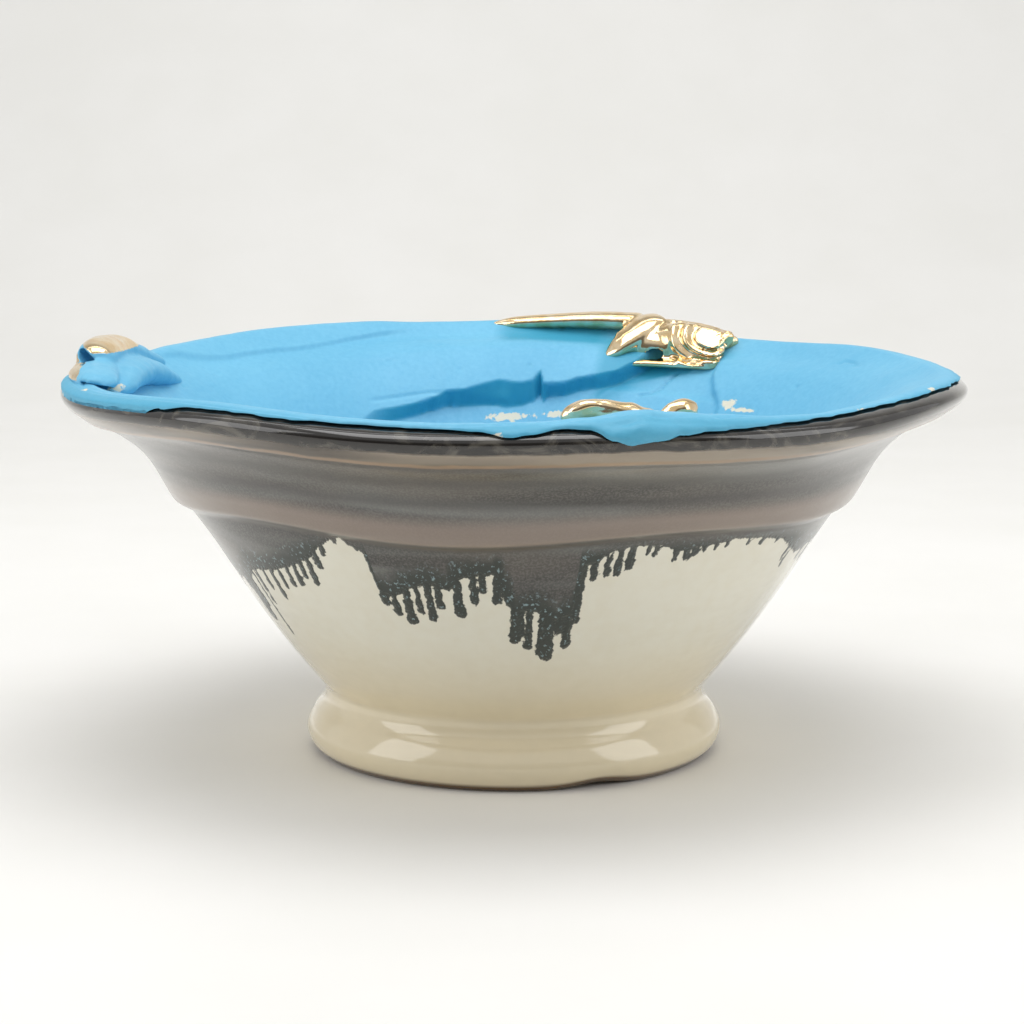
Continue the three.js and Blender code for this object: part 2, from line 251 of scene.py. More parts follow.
class ThrownForm:
    """The turned section in millimetres, and how the hand-thrown clay strays from it."""

    def __init__(self, sizes):
        self.rim = sizes.rim_diameter / 2 / MM
        self.rim_height = sizes.rim_height / MM
        self.reach = sizes.lip_reach / MM
        self.wall = sizes.wall_thickness / MM
        self.floor_radius = sizes.floor_diameter / 2 / MM
        self.ridge = sizes.ridge_height / MM
        self.ridge_step = sizes.ridge_step / MM
        self.neck = sizes.neck_diameter / 2 / MM
        self.foot = sizes.foot_diameter / 2 / MM
        self.foot_height = sizes.foot_height / MM
        self.foot_tuck = sizes.foot_tuck / MM
        self.root = self.rim - self.reach
        self.root_height = self.rim_height - LIP_DROP
        self.floor_height = RECESS_DEPTH + sizes.floor_thickness / MM
        self.measure_face()

    def wall_radius(self, height):
        share = np.clip((height - self.foot_height) / (self.root_height - self.foot_height), 0, 1)
        hollow = WALL_HOLLOW * share ** HOLLOW_START * (1 - share) ** HOLLOW_END
        return lerp(self.neck, self.root, share - hollow)

    def lip(self, degrees):
        swing = np.radians(degrees)
        reach = np.where(degrees > 0, np.cos(swing), np.abs(np.cos(swing)) ** LIP_CHAMFER)
        rise = np.where(degrees > 0, LIP_RISE, LIP_DROP) * np.sin(swing)
        return np.stack([self.root + self.reach * reach, self.rim_height + rise], axis=-1)

    def measure_face(self):
        """The face that the slip covers, from the axis over the lip, by its length in mm."""
        shares = np.linspace(0.08, 0.95, 30)
        height = lerp(self.foot_height, self.root_height, shares)
        spread = self.wall_radius(height + 0.5) - self.wall_radius(height - 0.5)
        size = np.hypot(spread, 1)
        wall = np.stack([self.wall_radius(height) - self.wall / size,
                         height + self.wall * spread / size], axis=-1)
        start = np.array([self.floor_radius, self.floor_height])
        bend = np.array([wall[0, 0] - self.wall / 2, self.floor_height])
        share = np.linspace(0, 1, 9)[:-1, None]
        corner = (1 - share) ** 2 * start + 2 * share * (1 - share) * bend + share ** 2 * wall[0]
        rough = np.concatenate([[[0, self.floor_height]], corner, wall,
                                self.lip(np.linspace(LIP_STATIONS[0], LIP_STATIONS[-1], 34))])
        run = np.concatenate([[0], np.cumsum(np.hypot(*np.diff(rough, axis=0).T))])
        self.face_run = np.arange(0, run[-1], 0.25)
        self.face_radius = np.interp(self.face_run, run, rough[:, 0])
        self.face_height = np.interp(self.face_run, run, rough[:, 1])
        along_radius = np.gradient(self.face_radius)
        along_height = np.gradient(self.face_height)
        soft = np.ones(9) / 9
        across = np.convolve(np.pad(-along_height, 4, mode="edge"), soft, mode="valid")
        upward = np.convolve(np.pad(along_radius, 4, mode="edge"), soft, mode="valid")
        size = np.hypot(across, upward)
        self.face_across = across / size
        self.face_upward = upward / size
        lip_run = [run[len(corner) + 1 + len(wall) + place]
                   for place in np.interp(LIP_STATIONS[::-1], np.linspace(-60, 105, 34),
                                          np.arange(33, -1, -1))[::-1].round().astype(int)]
        self.lip_run = np.array(lip_run)

    def clay_height(self, angle, radius, height):
        rim_share = step(height, self.ridge - 8, self.root_height)
        outside = radius > self.wall_radius(height) - self.wall / 2
        ridge_share = np.where(outside, bump(height - self.ridge, RIDGE_FADE / 2), 0)
        foot_share = np.where(radius > self.foot * 0.8, step(height, self.foot_height / 2, 0), 0)
        return (height + rim_share * waves(RIM_WAVES, angle) + ridge_share * waves(RIDGE_WAVES, angle)
                + foot_share * FOOT_LIFT * bump(turn(angle, FOOT_LIFT_ANGLE), FOOT_LIFT_SPREAD))

    def on_face(self, run, angle, lift):
        """Distance from the axis and height of points on the face, lifted off it."""
        radius = np.interp(run, self.face_run, self.face_radius)
        height = np.interp(run, self.face_run, self.face_height)
        across = np.interp(run, self.face_run, self.face_across)
        upward = np.interp(run, self.face_run, self.face_upward)
        raised = self.clay_height(angle, radius, height) + lift * upward
        return radius + lift * across * (radius > 0), raised

    def outside(self):
        """The outside from under the lip to the foot's ring and over the recess."""
        height = np.concatenate([np.linspace(self.root_height, self.ridge + 3, 20)[:-1],
                                 np.linspace(self.ridge + 3, RUNS_END, 60)[:-1],
                                 np.linspace(RUNS_END, self.foot_height, 14)])
        lift = self.ridge_step * step(height, self.ridge - RIDGE_ROUNDING, self.ridge + RIDGE_ROUNDING)
        lift = lift * step(height, self.ridge + RIDGE_FADE, self.ridge + RIDGE_ROUNDING)
        wall = np.stack([self.wall_radius(height) + lift, height], axis=-1)
        recess = self.foot - self.foot_tuck - FOOT_RING_WIDTH
        knots = np.array([
            [self.neck, self.foot_height],
            [lerp(self.neck, self.foot, 0.12), self.foot_height * 0.8],
            [lerp(self.neck, self.foot, 0.63), self.foot_height * 0.61],
            [self.foot, self.foot_height * 0.38],
            [self.foot - self.foot_tuck * 0.25, self.foot_height * 0.16],
            [self.foot - self.foot_tuck, 0.0],
        ])
        side = catmull(knots, 22)[1:]
        inner = recess - RECESS_DRAFT
        under = np.array([
            [recess + 4, 0],
            [recess + 1, 0],
            [recess, 0.4],
            [recess - RECESS_DRAFT / 2, RECESS_DEPTH / 2],
            [inner, RECESS_DEPTH - 0.6],
            [inner - 0.8, RECESS_DEPTH],
            [recess / 2, RECESS_DEPTH],
            [0, RECESS_DEPTH],
        ])
        return np.concatenate([wall, side, under])


def catmull(knots, count):
    """A smooth line of so many points through knots."""
    knots = np.asarray(knots, float)
    padded = np.concatenate([[2 * knots[0] - knots[1]], knots, [2 * knots[-1] - knots[-2]]])
    place = np.linspace(0, len(knots) - 1, count)
    low = np.minimum(place.astype(int), len(knots) - 2)
    share = (place - low).reshape((-1,) + (1,) * (knots.ndim - 1))
    a, b, c, d = (padded[low + offset] for offset in range(4))
    return 0.5 * (2 * b + (c - a) * share + (2 * a - 5 * b + 4 * c - d) * share ** 2
                  + (3 * b - a - 3 * c + d) * share ** 3)


def crowded(angle):
    """Draws the columns of a spun piece closer together where the slip is folded."""
    return angle - CROWDING_TURN * np.sin(2 * np.radians(angle - CROWDED_ANGLE))


# The dark glaze and its runs

# Where the dark glaze ends between its runs: angle, height
GLAZE_END = [(-150, 52), (-130, 55), (-105, 50), (-80, 47), (-64.6, 44), (-57, 49), (-49.4, 50),
             (-42, 52.5), (-37, 55), (-33.3, 58.5), (-31, 60), (-28.5, 61), (-28, 59.6), (-26, 58.9),
             (-25.2, 56), (-25, 53.4), (-24.7, 48), (-22, 47), (-19, 49.5), (-15, 51), (-11.3, 49.5), (-9, 52.4),
             (-6.9, 53.5), (-3.1, 53.6), (-2, 48), (0, 43.8), (3.5, 45), (7.5, 42), (10.8, 44),
             (11.3, 52), (12.1, 55.6), (14, 56), (15.6, 59.2), (19.6, 59.6), (24.5, 59.5), (27.9, 57.6),
             (33, 58.2), (39.4, 59.3), (44, 58.6), (48.4, 58), (52.4, 57), (56, 55), (62, 52), (75, 54), (95, 57),
             (115, 52), (140, 56), (165, 49), (180, 53)]
# Runs of dark glaze: angle, height of the tip, half width
RUNS = [(-64.6, 35, 2.2), (-62.6, 38.5, 1.8), (-58.8, 32.4, 0.45), (-57, 40.1, 0.7), (-53.5, 44.5, 0.7),
        (-50.4, 42.5, 0.9), (-47.6, 46, 0.7), (-44.8, 46.8, 0.8), (-42.3, 47.2, 0.9), (-40.2, 49.5, 0.8),
        (-38, 48.1, 1), (-35.6, 52.5, 1), (-33.4, 55.9, 0.8), (-30, 59, 0.5), (-26, 58, 0.7),
        (-23.9, 45, 1.1), (-22, 42.7, 1), (-19.5, 40.6, 1.2), (-17.3, 43.5, 0.8), (-15.2, 41.8, 1.1),
        (-13.4, 44.9, 1), (-9.9, 43.1, 1.3), (-7, 46.2, 1), (-5.4, 48.9, 0.9), (-2.9, 46.5, 1.1), (0.2, 36.6, 1.3),
        (1.4, 38.4, 0.8), (2.8, 35.2, 0.9), (5.3, 33.6, 1.1), (6.6, 32.3, 1.5), (8.6, 39, 1.1),
        (10.2, 35.3, 1.1), (11.5, 41.5, 0.9), (13.4, 51.8, 0.9), (15.5, 52.6, 0.7), (17.4, 52.5, 0.9),
        (19.3, 54.1, 1.1), (22.2, 57.2, 0.6), (23.6, 56.8, 0.6), (27.5, 55.2, 0.8), (29.7, 54.9, 0.8),
        (31.2, 55.9, 0.6), (33, 56.7, 0.7), (35.4, 57, 0.6), (37.5, 57.5, 0.6), (42.6, 57.2, 0.6),
        (45.9, 56.7, 0.6), (50.3, 56.6, 0.5), (56.8, 51, 0.6), (58.3, 48.9, 0.6)]
SLOPE_SPAN = 0.4  # degrees to each side in which the slope of the glaze's end is taken
HIDDEN_FROM = 66  # past this turn from the front the runs are the maker's usual ones


def hidden_runs():
    draw = np.random.RandomState(5)
    angle = HIDDEN_FROM
    while angle < 360 - HIDDEN_FROM:
        end = along(GLAZE_END, turn(angle))
        yield turn(angle), end - draw.uniform(1.5, 11) * draw.uniform(0.4, 1), draw.uniform(0.6, 1.5)
        angle += draw.uniform(1.6, 4.2)


def depth_in_glaze(angle, radius, height):
    """How far inside the dark glaze a point of the outside lies, less than 0 in the cream."""
    arc = math.pi / 180 * np.maximum(radius, 1)
    angles, ends = np.array(sorted(GLAZE_END)).T
    end = np.interp(angle, angles, ends, period=360)
    before, after = (np.interp(angle + side * SLOPE_SPAN, angles, ends, period=360) for side in (-1, 1))
    depth = (height - end) / np.hypot(1, (after - before) / (2 * SLOPE_SPAN * arc))
    for centre, tip, half in [*RUNS, *hidden_runs()]:
        root = np.interp(centre, angles, ends, period=360) + 4
        swell = half * (0.8 + 0.2 * step(height, tip + 5, tip + 1))
        near = np.clip(height, tip + half, root)
        away = np.hypot(turn(angle, centre) * arc, height - near)
        depth = np.maximum(depth, swell - away)
    return depth


# The slip's shape

BOND_GAP = 0.3
RIM_MARGIN = 0.2  # the slip stays this far inside the lip's widest line
FLAP_REACH = 1.8  # how far the flap at the front hangs out past that
FLAP_ANGLE = 13
EDGE_GAP = 0.5
NOSE = 0.3  # share of the lap in which the slip's edge rounds off

# Where the slip ends over the lip: angle, length past the lip's top inside edge
SLIP_EDGE = [(-150, 4.4), (-120, 4.0), (-100, 4.4), (-90, 4.2), (-80, 6.2), (-60, 7.2), (-48, 7.2),
             (-44, 5.6), (-40, 3.6), (-30, 3.4), (-20, 2.6), (-10, 2.4), (-4, 3.8), (-1, 5.6), (2, 5.2),
             (5, 3.8), (8, 3.8), (10.5, 6.6), (12.5, 7.8), (15, 7.4), (18, 6.4), (23, 5.2), (28, 4.4),
             (34, 3.6), (38, 3), (45, 2.6), (52, 3), (60, 3.5), (70, 4), (90, 4.4), (110, 4.1), (130, 4),
             (150, 4.4), (180, 4.2)]

# Thickness of the slip on the lip: angle, thickness
LIP_COAT = [(-180, 2.1), (-125, 2.1), (-105, 1.6), (-90, 1.2), (-60, 0.8), (-31, 1.0), (-7, 1.2),
            (3, 1.3), (8, 1.9), (13.8, 3.1), (19, 2.6), (23, 2.0), (32, 1.2), (40, 0.7), (64, 0.7),
            (77, 0.7), (100, 1.2), (125, 2.1), (155, 2.1)]
LIP_COAT_BASE = 2.1  # the coat for which these hold

# Lines on the slip: turn from the back, positive to the left, and length along the face from the axis
TORN_CREST = [(-180, 117), (-21.2, 116.5), (-16.3, 113.8), (-13.1, 112.5), (-10.4, 110.9), (-6.9, 110.4),
              (-6.1, 110.6), (-5.3, 114.2), (-3.9, 111.2), (-1.7, 110.5), (0.5, 110.8), (3.1, 111.5),
              (6.2, 110.5), (10.1, 109.2), (14.4, 108.8), (16.3, 107.7), (19.1, 106.6), (24.6, 105.9),
              (30.2, 105.4), (40, 99), (80, 70), (180, 60)]
# Width of the torn face, and share of the sheet's thickness that stands there, by the same turn
TORN_FACE = [(-180, 1), (-21, 1.8), (-13, 1.6), (-7, 1.2), (-5.4, 4.4), (-3.5, 3.4), (2.4, 5), (6, 3.6),
             (10, 2.4), (18, 1.6), (30, 3), (180, 3)]
SHEET_SHARE = [(-180, 0), (-110, 0), (-70, 0.4), (-30, 0.55), (-12, 0.85), (-2, 1), (14, 1), (20, 0.75),
               (26, 0.5), (34, 0.3), (60, 0.2), (110, 0), (180, 0)]
# Sides of the channel that runs down from the back fold, and the crease along the back rim
CHANNEL_LEFT = [(-5, 90), (-9, 100), (-14.5, 107.8), (-17.4, 111.8), (-20.7, 116.2), (-23.5, 120),
                (-26, 128)]
CHANNEL_RIGHT = [(-50, 90), (-46, 100), (-43, 111), (-41.6, 113), (-40, 115.2), (-38, 120), (-37, 128)]
BACK_CREASE = [(72, 136), (63.5, 134), (57.8, 130.5), (54.1, 129), (38.8, 127.2), (24.9, 131), (14, 134)]
# Lower edge of the darker slip under the back fold
FOLD_SHADE = [(-40, 127), (-34, 124), (-32.6, 120.5), (-24.9, 116.8), (-20.3, 114.2), (-16.9, 109.2)]
# Thin grooves, each with its depth, half width and points
GROOVES = [
    (0.7, 0.35, [(-31, 121), (-29.8, 118.5), (-28.7, 114.8), (-27.1, 112.5), (-25.2, 111.5)]),
    (0.5, 0.45, [(-63.5, 128.2), (-64.4, 130), (-66.5, 130), (-68.1, 128.8)]),
    (0.55, 0.5, [(102, 137.5), (112, 137.6), (125, 137.4), (140, 136.6)]),
    (0.45, 0.5, [(-157, 138.6), (-150, 136.6), (-140, 136)]),
    (0.3, 0.6, [(-133, 131), (-122, 133.6), (-110, 135.5)]),
    (0.3, 0.6, [(-130, 128.5), (-118, 132), (-108, 134)]),
    (0.3, 0.5, [(30, 108), (18, 108.6), (8, 107.6), (2, 107)]),
    (0.35, 0.5, [(-177, 138.5), (-172, 136.8), (-168, 138), (-163, 139.6)]),
    (0.4, 0.5, [(-170, 141.6), (-166, 139.5), (-160, 138.4)]),
    (0.35, 0.4, [(177, 136.2), (179.5, 138.4), (-178.5, 140.6)]),
]
# Pits: turn, length along the face, radius
PITS = [(-60.2, 118, 0.7), (-8, 121.2, 0.8), (-7, 121.4, 0.5), (59.7, 124, 0.6), (71.5, 122.2, 0.6),
        (23.7, 119.2, 0.6), (10.6, 114.9, 0.5), (-3.1, 115.5, 0.4), (13.8, 123.5, 0.4), (-8.1, 133, 0.4),
        (-37, 121.5, 0.5)]
PIT_DEPTH = 0.5
# Where the slip is rubbed off to the clay: turn, length along the face, half lengths across and up
BARE_SPOTS = [(-46.5, 110.6, 4.4, 2.6), (-51, 109.2, 8.0, 1.2), (1, 103.4, 11, 2.4), (-9, 104.2, 7, 1.6),
              (-118.6, 138.8, 3.4, 1.1), (-135.5, 138.2, 3.2, 0.5), (178, 141.2, 2.2, 1.0),
              (113, 138.6, 2.6, 1.5), (106, 142.2, 1.6, 1.2)]
# Distances from the axis for arcs on the slip: low inside, at its pits, near the rim, on the lip
LOW_RADIUS, PIT_RADIUS, RIM_ARC_RADIUS, LIP_RADIUS = 78, 88, 90, 104
LIP_FROM = 130  # length along the face past which a place is on the lip
THINNEST = 0.5


def line_distance(turned, run, points):
    """Distance in millimetres on the slip from a line of points."""
    scale = np.array([math.radians(RIM_ARC_RADIUS), 1.0])
    knots = np.array(points) * scale
    place = np.stack([turned, run], axis=-1) * scale
    nearest = np.full(len(run), 1e3)
    for start, end in zip(knots[:-1], knots[1:]):
        way = end - start
        share = np.clip((place - start) @ way / (way @ way), 0, 1)
        nearest = np.minimum(nearest, np.linalg.norm(place - start - share[:, None] * way, axis=1))
    return nearest


def straight(table, value, column=0):
    """Reads the other column of a table of pairs, straight between them."""
    rows = np.array(sorted(table, key=lambda row: row[column]))
    return np.interp(value, rows[:, column], rows[:, 1 - column])


class SlipForm:
    """The blue slip on the bowl's inside face, with its torn sheet, laps and crest."""

    def __init__(self, thrown, sizes):
        self.thrown = thrown
        self.coat = sizes.slip_thickness / MM
        self.sheet = sizes.sheet_thickness / MM

    def edge_run(self, angle):
        """How far along the face the slip reaches, over the lip."""
        ragged = noise(around(angle, self.thrown.rim, 0 * angle), 5, 3) * 0.5
        ragged += noise(around(angle, self.thrown.rim, 0 * angle), 1.8, 4) * 0.25
        return self.thrown.lip_run[0] + along(SLIP_EDGE, angle) + ragged

    def thickness(self, run, angle):
        back = turn(angle, 180)
        flat = around(angle, run, 0 * run)
        wipe = (noise(flat, 22, 11) * 0.35 + noise(flat, 7, 12) * 0.1) * step(run, 140, 130)
        crest = straight(TORN_CREST, back) + noise(flat, 2.5, 13) * 0.25
        face = straight(TORN_FACE, back)
        share = np.clip((run - crest + face) / face, 0, 1)
        sheet = straight(SHEET_SHARE, back) * share ** 0.85
        left_side = straight(CHANNEL_LEFT, run, 1)
        right_side = straight(CHANNEL_RIGHT, run, 1)
        in_channel = step(back, left_side + 0.5, left_side - 0.7)
        in_channel = in_channel * step(back, right_side - 1.2, right_side + 0.6)
        beyond = step(back, right_side + 0.4, right_side - 1.0)
        sheet = sheet * step(back, left_side - 0.7, left_side + 0.3)
        below_rim = step(run, 131, 121)
        swell = 1.3 * beyond * bump(back + 43, 24)
        hollow = 0.9 * in_channel * step(run, 111.5, 115)
        flange = 0.9 * step(run - straight(BACK_CREASE, back), -0.8, 1.0)
        flange = flange * step(back, 14, 24) * step(back, 72, 62)
        wrinkle = 0.5 * bump(turn(angle, 14.5) + 0.35 * (run - 139), 1.1) * step(run, 135, 139)
        lap_coat = along(LIP_COAT, angle) * self.coat / LIP_COAT_BASE
        total = lerp(self.coat, lap_coat, step(run, 127, 135.5)) + wipe
        total = total + self.sheet * sheet * lerp(0.35, 1, below_rim)
        total = total + below_rim * (swell - hollow) + flange + wrinkle
        near = (run > 95) & (run < 145)
        for depth, half, points in GROOVES:
            total[near] -= depth * bump(line_distance(back[near], run[near], points), half)
        for place, length_along, radius in PITS:
            arc = np.radians(turn(back, place)) * PIT_RADIUS
            total = total - PIT_DEPTH * bump(np.hypot(arc, run - length_along), radius)
        return np.maximum(total, THINNEST)

    def deep(self, run, angle):
        """1 where shade is painted on the slip, and 0 on the rest: on the torn faces, in the channel, under the
        back fold and the ribbon, and under the lip.
        """
        back = turn(angle, 180)
        crest = straight(TORN_CREST, back)
        face = straight(TORN_FACE, back)
        # Painted shade on the steep torn faces, partly the torn slip's own deeper teal
        torn = step(run, crest - face - 0.8, crest - face + 0.4) * step(run, crest + 0.3, crest - 0.3)
        side = straight(CHANNEL_LEFT, run, 1)
        torn = torn * step(straight(SHEET_SHARE, back), 0.2, 0.5) * step(back, side - 1, side)
        # Painted shade along the channel's left wall, under the back fold
        channel = 0.7 * bump(back - side + 2.5, 2.4) * step(run, 107, 109) * step(run, 125, 119)
        # Painted shadow under the back fold's overhang
        shade_edge = straight(FOLD_SHADE, back)
        under_fold = 0.75 * step(run, shade_edge - 0.6, shade_edge + 1.2)
        under_fold = under_fold * step(back, -15, -18) * step(back, -41, -36) * step(run, 132, 128)
        # Painted shadow under the ribbon
        ribbon = 0.85 * step(run, 123.5, 126.5) * step(run, 136, 133)
        ribbon = ribbon * step(back, 4, 0) * step(back, -18, -14)
        # Painted shade on the lap that faces out and down over the lip
        lap = 0.55 * step(run, self.thrown.lip_run[0] + 1.5, self.thrown.lip_run[0] + 4.5)
        return np.clip(torn + channel + lap + under_fold + ribbon, 0, 1)

    def bare(self, run, angle):
        """Over 0 where the slip is rubbed through to the pale clay."""
        back = turn(angle, 180)
        best = np.full(len(run), -2.0)
        for place, length_along, half_across, half_up in BARE_SPOTS:
            arc = np.radians(turn(back, place)) * (LIP_RADIUS if length_along > LIP_FROM else LOW_RADIUS)
            best = np.maximum(best, 1 - np.hypot(arc / half_across, (run - length_along) / half_up))
        return best

    def crest(self, angle):
        """Distance from the axis and height of the slip's top on the lip's inside edge."""
        inner = np.full_like(angle, self.thrown.lip_run[0])
        return self.thrown.on_face(inner, angle, BOND_GAP + self.coat)


def tube(name, slip, stations, steps=48, sides=32, cap=0.12):
    """A round-ended fold of slip. Its stations are [angle, inward from the crest, up from the
    crest, half width, half height], and its ends round off over the cap's share of its length."""
    table = np.array(stations, float)
    radius, height = slip.crest(table[:, 0])
    knots = around(table[:, 0], radius - table[:, 1], height + table[:, 2])
    select_only()
    bpy.ops.mesh.primitive_uv_sphere_add(segments=sides, ring_count=steps, radius=1)
    piece = bpy.context.object
    piece.name = name
    unit = places(piece) * MM
    share = np.arccos(np.clip(unit[:, 2], -1, 1)) / math.pi
    ring = np.hypot(unit[:, 0], unit[:, 1])
    across, upward = (np.divide(unit[:, axis], ring, out=np.zeros(len(unit)), where=ring > 1e-5)
                      for axis in (0, 1))
    ends = np.minimum(share, 1 - share) / cap
    rounding = np.sqrt(np.clip(1 - (1 - np.minimum(ends, 1)) ** 2, 0, 1))
    fine = 400
    spine = catmull(knots, fine + 1)
    halves = catmull(table[:, 3:5], fine + 1)
    way = np.concatenate([[0], np.cumsum(np.linalg.norm(np.diff(spine, axis=0), axis=1))])
    way /= way[-1]
    centre = np.stack([np.interp(share, way, spine[:, axis]) for axis in range(3)], axis=-1)
    heading = np.gradient(spine, axis=0)
    heading = np.stack([np.interp(share, way, heading[:, axis]) for axis in range(3)], axis=-1)
    heading /= np.linalg.norm(heading, axis=1, keepdims=True)
    side = np.cross([0, 0, 1], heading)
    side /= np.linalg.norm(side, axis=1, keepdims=True)
    rise = np.cross(heading, side)
    half = np.stack([np.interp(share, way, halves[:, axis]) for axis in range(2)], axis=-1)
    move_to(piece, centre + side * (across * rounding * half[:, 0])[:, None]
            + rise * (upward * rounding * half[:, 1])[:, None])
    return piece


def fused(pieces, voxel, smoothing):
    """Joins folds into one closed body with soft creases."""
    select_only(*pieces)
    bpy.ops.object.join()
    piece = bpy.context.object
    apply_modifier(piece, "REMESH", mode="VOXEL", voxel_size=voxel * MM)
    apply_modifier(piece, "SMOOTH", factor=0.5, iterations=smoothing)
    return piece


# What each operator models

DEEP_IN_GLAZE = 30  # depth given to the inside and the lip, where no run shows

def make_glazed_bowl(sizes, material):
    thrown = ThrownForm(sizes)
    runs = np.concatenate([np.linspace(0, thrown.lip_run[0], 14)[:-1],
                           np.linspace(thrown.lip_run[0], thrown.face_run[-1], 18)[:-1]])
    face = np.stack([np.interp(runs, thrown.face_run, thrown.face_radius),
                     np.interp(runs, thrown.face_run, thrown.face_height)], axis=-1)
    section = np.concatenate([face, thrown.outside()])
    piece = spun("glazed_bowl", section, COLUMNS)
    ring = read(piece, "ring").round().astype(int)
    angle, _, _ = cylindrical(places(piece))
    angle = turn(crowded(angle))
    radius, height = section[ring].T
    raised = thrown.clay_height(angle, radius, height)
    move_to(piece, around(angle, radius, raised))
    outside = ring >= len(face)
    depth = depth_in_glaze(angle, radius, raised)
    mark(piece, "runs", np.where(outside & (height < thrown.root_height), depth, DEEP_IN_GLAZE))
    mark(piece, "turned_height", height)
    finish_piece(piece, material, "bowl")


def make_slip_lining(sizes, material):
    thrown = ThrownForm(sizes)
    slip = SlipForm(thrown, sizes)
    inner = thrown.lip_run[0]
    top = np.concatenate([np.linspace(0, 96, 14)[:-1], np.linspace(96, inner, 96)])
    lap = np.linspace(0, 1, 26)[1:]
    tucked = np.linspace(1, 0, 8)
    floor = np.linspace(inner, 0, 13)[1:]
    count = len(top) + len(lap) + len(tucked) + len(floor)
    piece = spun("blue_slip_lining", plain_section(count), COLUMNS)
    ring = read(piece, "ring").round().astype(int)
    angle, _, _ = cylindrical(places(piece))
    angle = turn(crowded(angle))
    share = np.concatenate([np.zeros(len(top)), lap, tucked, np.zeros(len(floor))])[ring]
    start = np.concatenate([top, np.full(len(lap) + len(tucked), inner), floor])[ring]
    run = start + share * (slip.edge_run(angle) - inner)
    gap = lerp(BOND_GAP, EDGE_GAP, share)
    on_top = ring < len(top) + len(lap)
    nose = np.sqrt(np.clip(1 - (np.clip(share - 1 + NOSE, 0, 1) / NOSE) ** 2, 0, 1))
    taper = lerp(1, sizes.edge_share, step(share, 0, 1))
    lift = gap + np.where(on_top, taper * nose * slip.thickness(run, angle), 0)
    radius, height = thrown.on_face(run, angle, lift)
    widest = thrown.rim - RIM_MARGIN + FLAP_REACH * bump(turn(angle, FLAP_ANGLE), 9)
    radius = np.where(start <= 0, 0, np.minimum(radius, widest))
    move_to(piece, around(angle, radius, height))
    mark(piece, "gold", np.full(len(angle), -1.0))
    mark(piece, "bare", np.where(on_top, slip.bare(run, angle), -2))
    # Faces that turn under the slip get half the painted shade
    mark(piece, "deep", np.where(on_top, slip.deep(run, angle), 0.5))
    finish_piece(piece, material, "slip_lining")


def plain_section(count):
    """A rough section with its ends on the axis, whose points are placed later."""
    swing = np.linspace(0, math.pi, count)
    return np.stack([50 * np.sin(swing), 50 - 30 * np.cos(swing)], axis=-1)


def leaned(first, second, degrees):
    """Two coordinates after a turn from the first axis to the second."""
    swing = math.radians(degrees)
    return (first * math.cos(swing) - second * math.sin(swing),
            first * math.sin(swing) + second * math.cos(swing))


def hollow_out(piece, centre, halves, slant=0.0, turned=0.0):
    """Cuts an egg-shaped hollow. Halves are across, deep and high, before it is turned."""
    select_only()
    bpy.ops.mesh.primitive_uv_sphere_add(segments=32, ring_count=20, radius=1)
    cutter = bpy.context.object
    sideways, deep, high = (places(cutter) * MM * halves).T
    sideways, high = leaned(sideways, high, -slant)
    sideways, deep = leaned(sideways, deep, turned)
    move_to(cutter, np.stack([sideways, deep, high], axis=-1) + centre)
    apply_modifier(piece, "BOOLEAN", operation="DIFFERENCE", object=cutter, solver="EXACT")
    bpy.data.objects.remove(cutter)


def outward(piece):
    """Normals of the vertices, as an array."""
    flat = np.empty(len(piece.data.vertices) * 3)
    piece.data.vertices.foreach_get("normal", flat)
    return flat.reshape(-1, 3)


# The folds' tubes by name: how much of each rounds off at its ends, and its stations
BACK_FOLD = {
    "ribbon": (0.05, [[-175.5, 0.6, 0.2, 0.5, 0.4], [-178, 1.0, 0.6, 1.6, 1.4], [179, 1.4, 1.0, 3.2, 1.9],
                      [173, 1.8, 1.5, 4.0, 2.1], [166, 2.0, 2.0, 4.4, 2.5], [158, 2.2, 2.4, 4.2, 2.6]]),
    "limb": (0.12, [[155.6, 0.6, 2.0, 5.2, 3.2], [157.4, 5.4, 1.0, 5.8, 3.6],
                    [159.8, 10.8, -2.8, 4.8, 3.0], [162.6, 15.6, -7.0, 2.0, 1.3]]),
    "upper_roll": (0.12, [[157, 1.6, 1.4, 3.0, 2.4], [151, 1.6, 1.6, 3.4, 2.2], [146, 2.2, 0.8, 3.2, 2.2],
                          [142.4, 3.2, -0.6, 2.0, 1.6]]),
    "shell": (0.12, [[156, 6.8, -2.4, 3.4, 3.8], [151, 6.4, -1.8, 5.6, 5.6], [146, 6.2, -2.2, 5.6, 5.4],
                     [142, 6.6, -3.2, 4.0, 4.6]]),
    "cave_wall": (0.12, [[161.6, 10.8, -5.6, 2.2, 2.4], [157, 8.4, -4.0, 4.4, 4.8],
                         [151, 7.4, -3.8, 4.4, 4.6]]),
    "lower_lip": (0.12, [[161.8, 15.2, -8.6, 1.8, 0.9], [156, 12.6, -7.6, 3.6, 1.2],
                         [149, 10.2, -7.0, 4.4, 1.3], [142.4, 8.8, -6.6, 3.0, 1.4]]),
}
LEFT_CURL = {
    "cap": (0.06, [[-82.5, 1.2, 0.8, 4.2, 3.4], [-87, 1.2, 2.6, 5.0, 4.0], [-95, 1.6, 2.8, 5.2, 3.6],
                   [-103, 2.2, 0.9, 4.8, 2.8], [-111, 2.8, -2.6, 3.4, 1.8]]),
    "lower_roll": (0.06, [[-70.5, 1.6, -1.4, 3.6, 1.6], [-74, 1.2, -1.0, 4.8, 2.4],
                          [-80, 1.0, -0.8, 5.8, 3.2], [-87, 1.6, -1.4, 5.8, 3.4],
                          [-96, 4.6, -4.4, 4.6, 2.4]]),
    "body": (0.12, [[-77, 5.0, -4.2, 4.5, 2.4], [-86, 5.4, -2.6, 7.0, 3.8], [-96, 5.8, -2.4, 7.4, 3.8],
                    [-106, 5.6, -5.0, 6.4, 3.0], [-113, 5.0, -8.6, 4.4, 1.8]]),
}
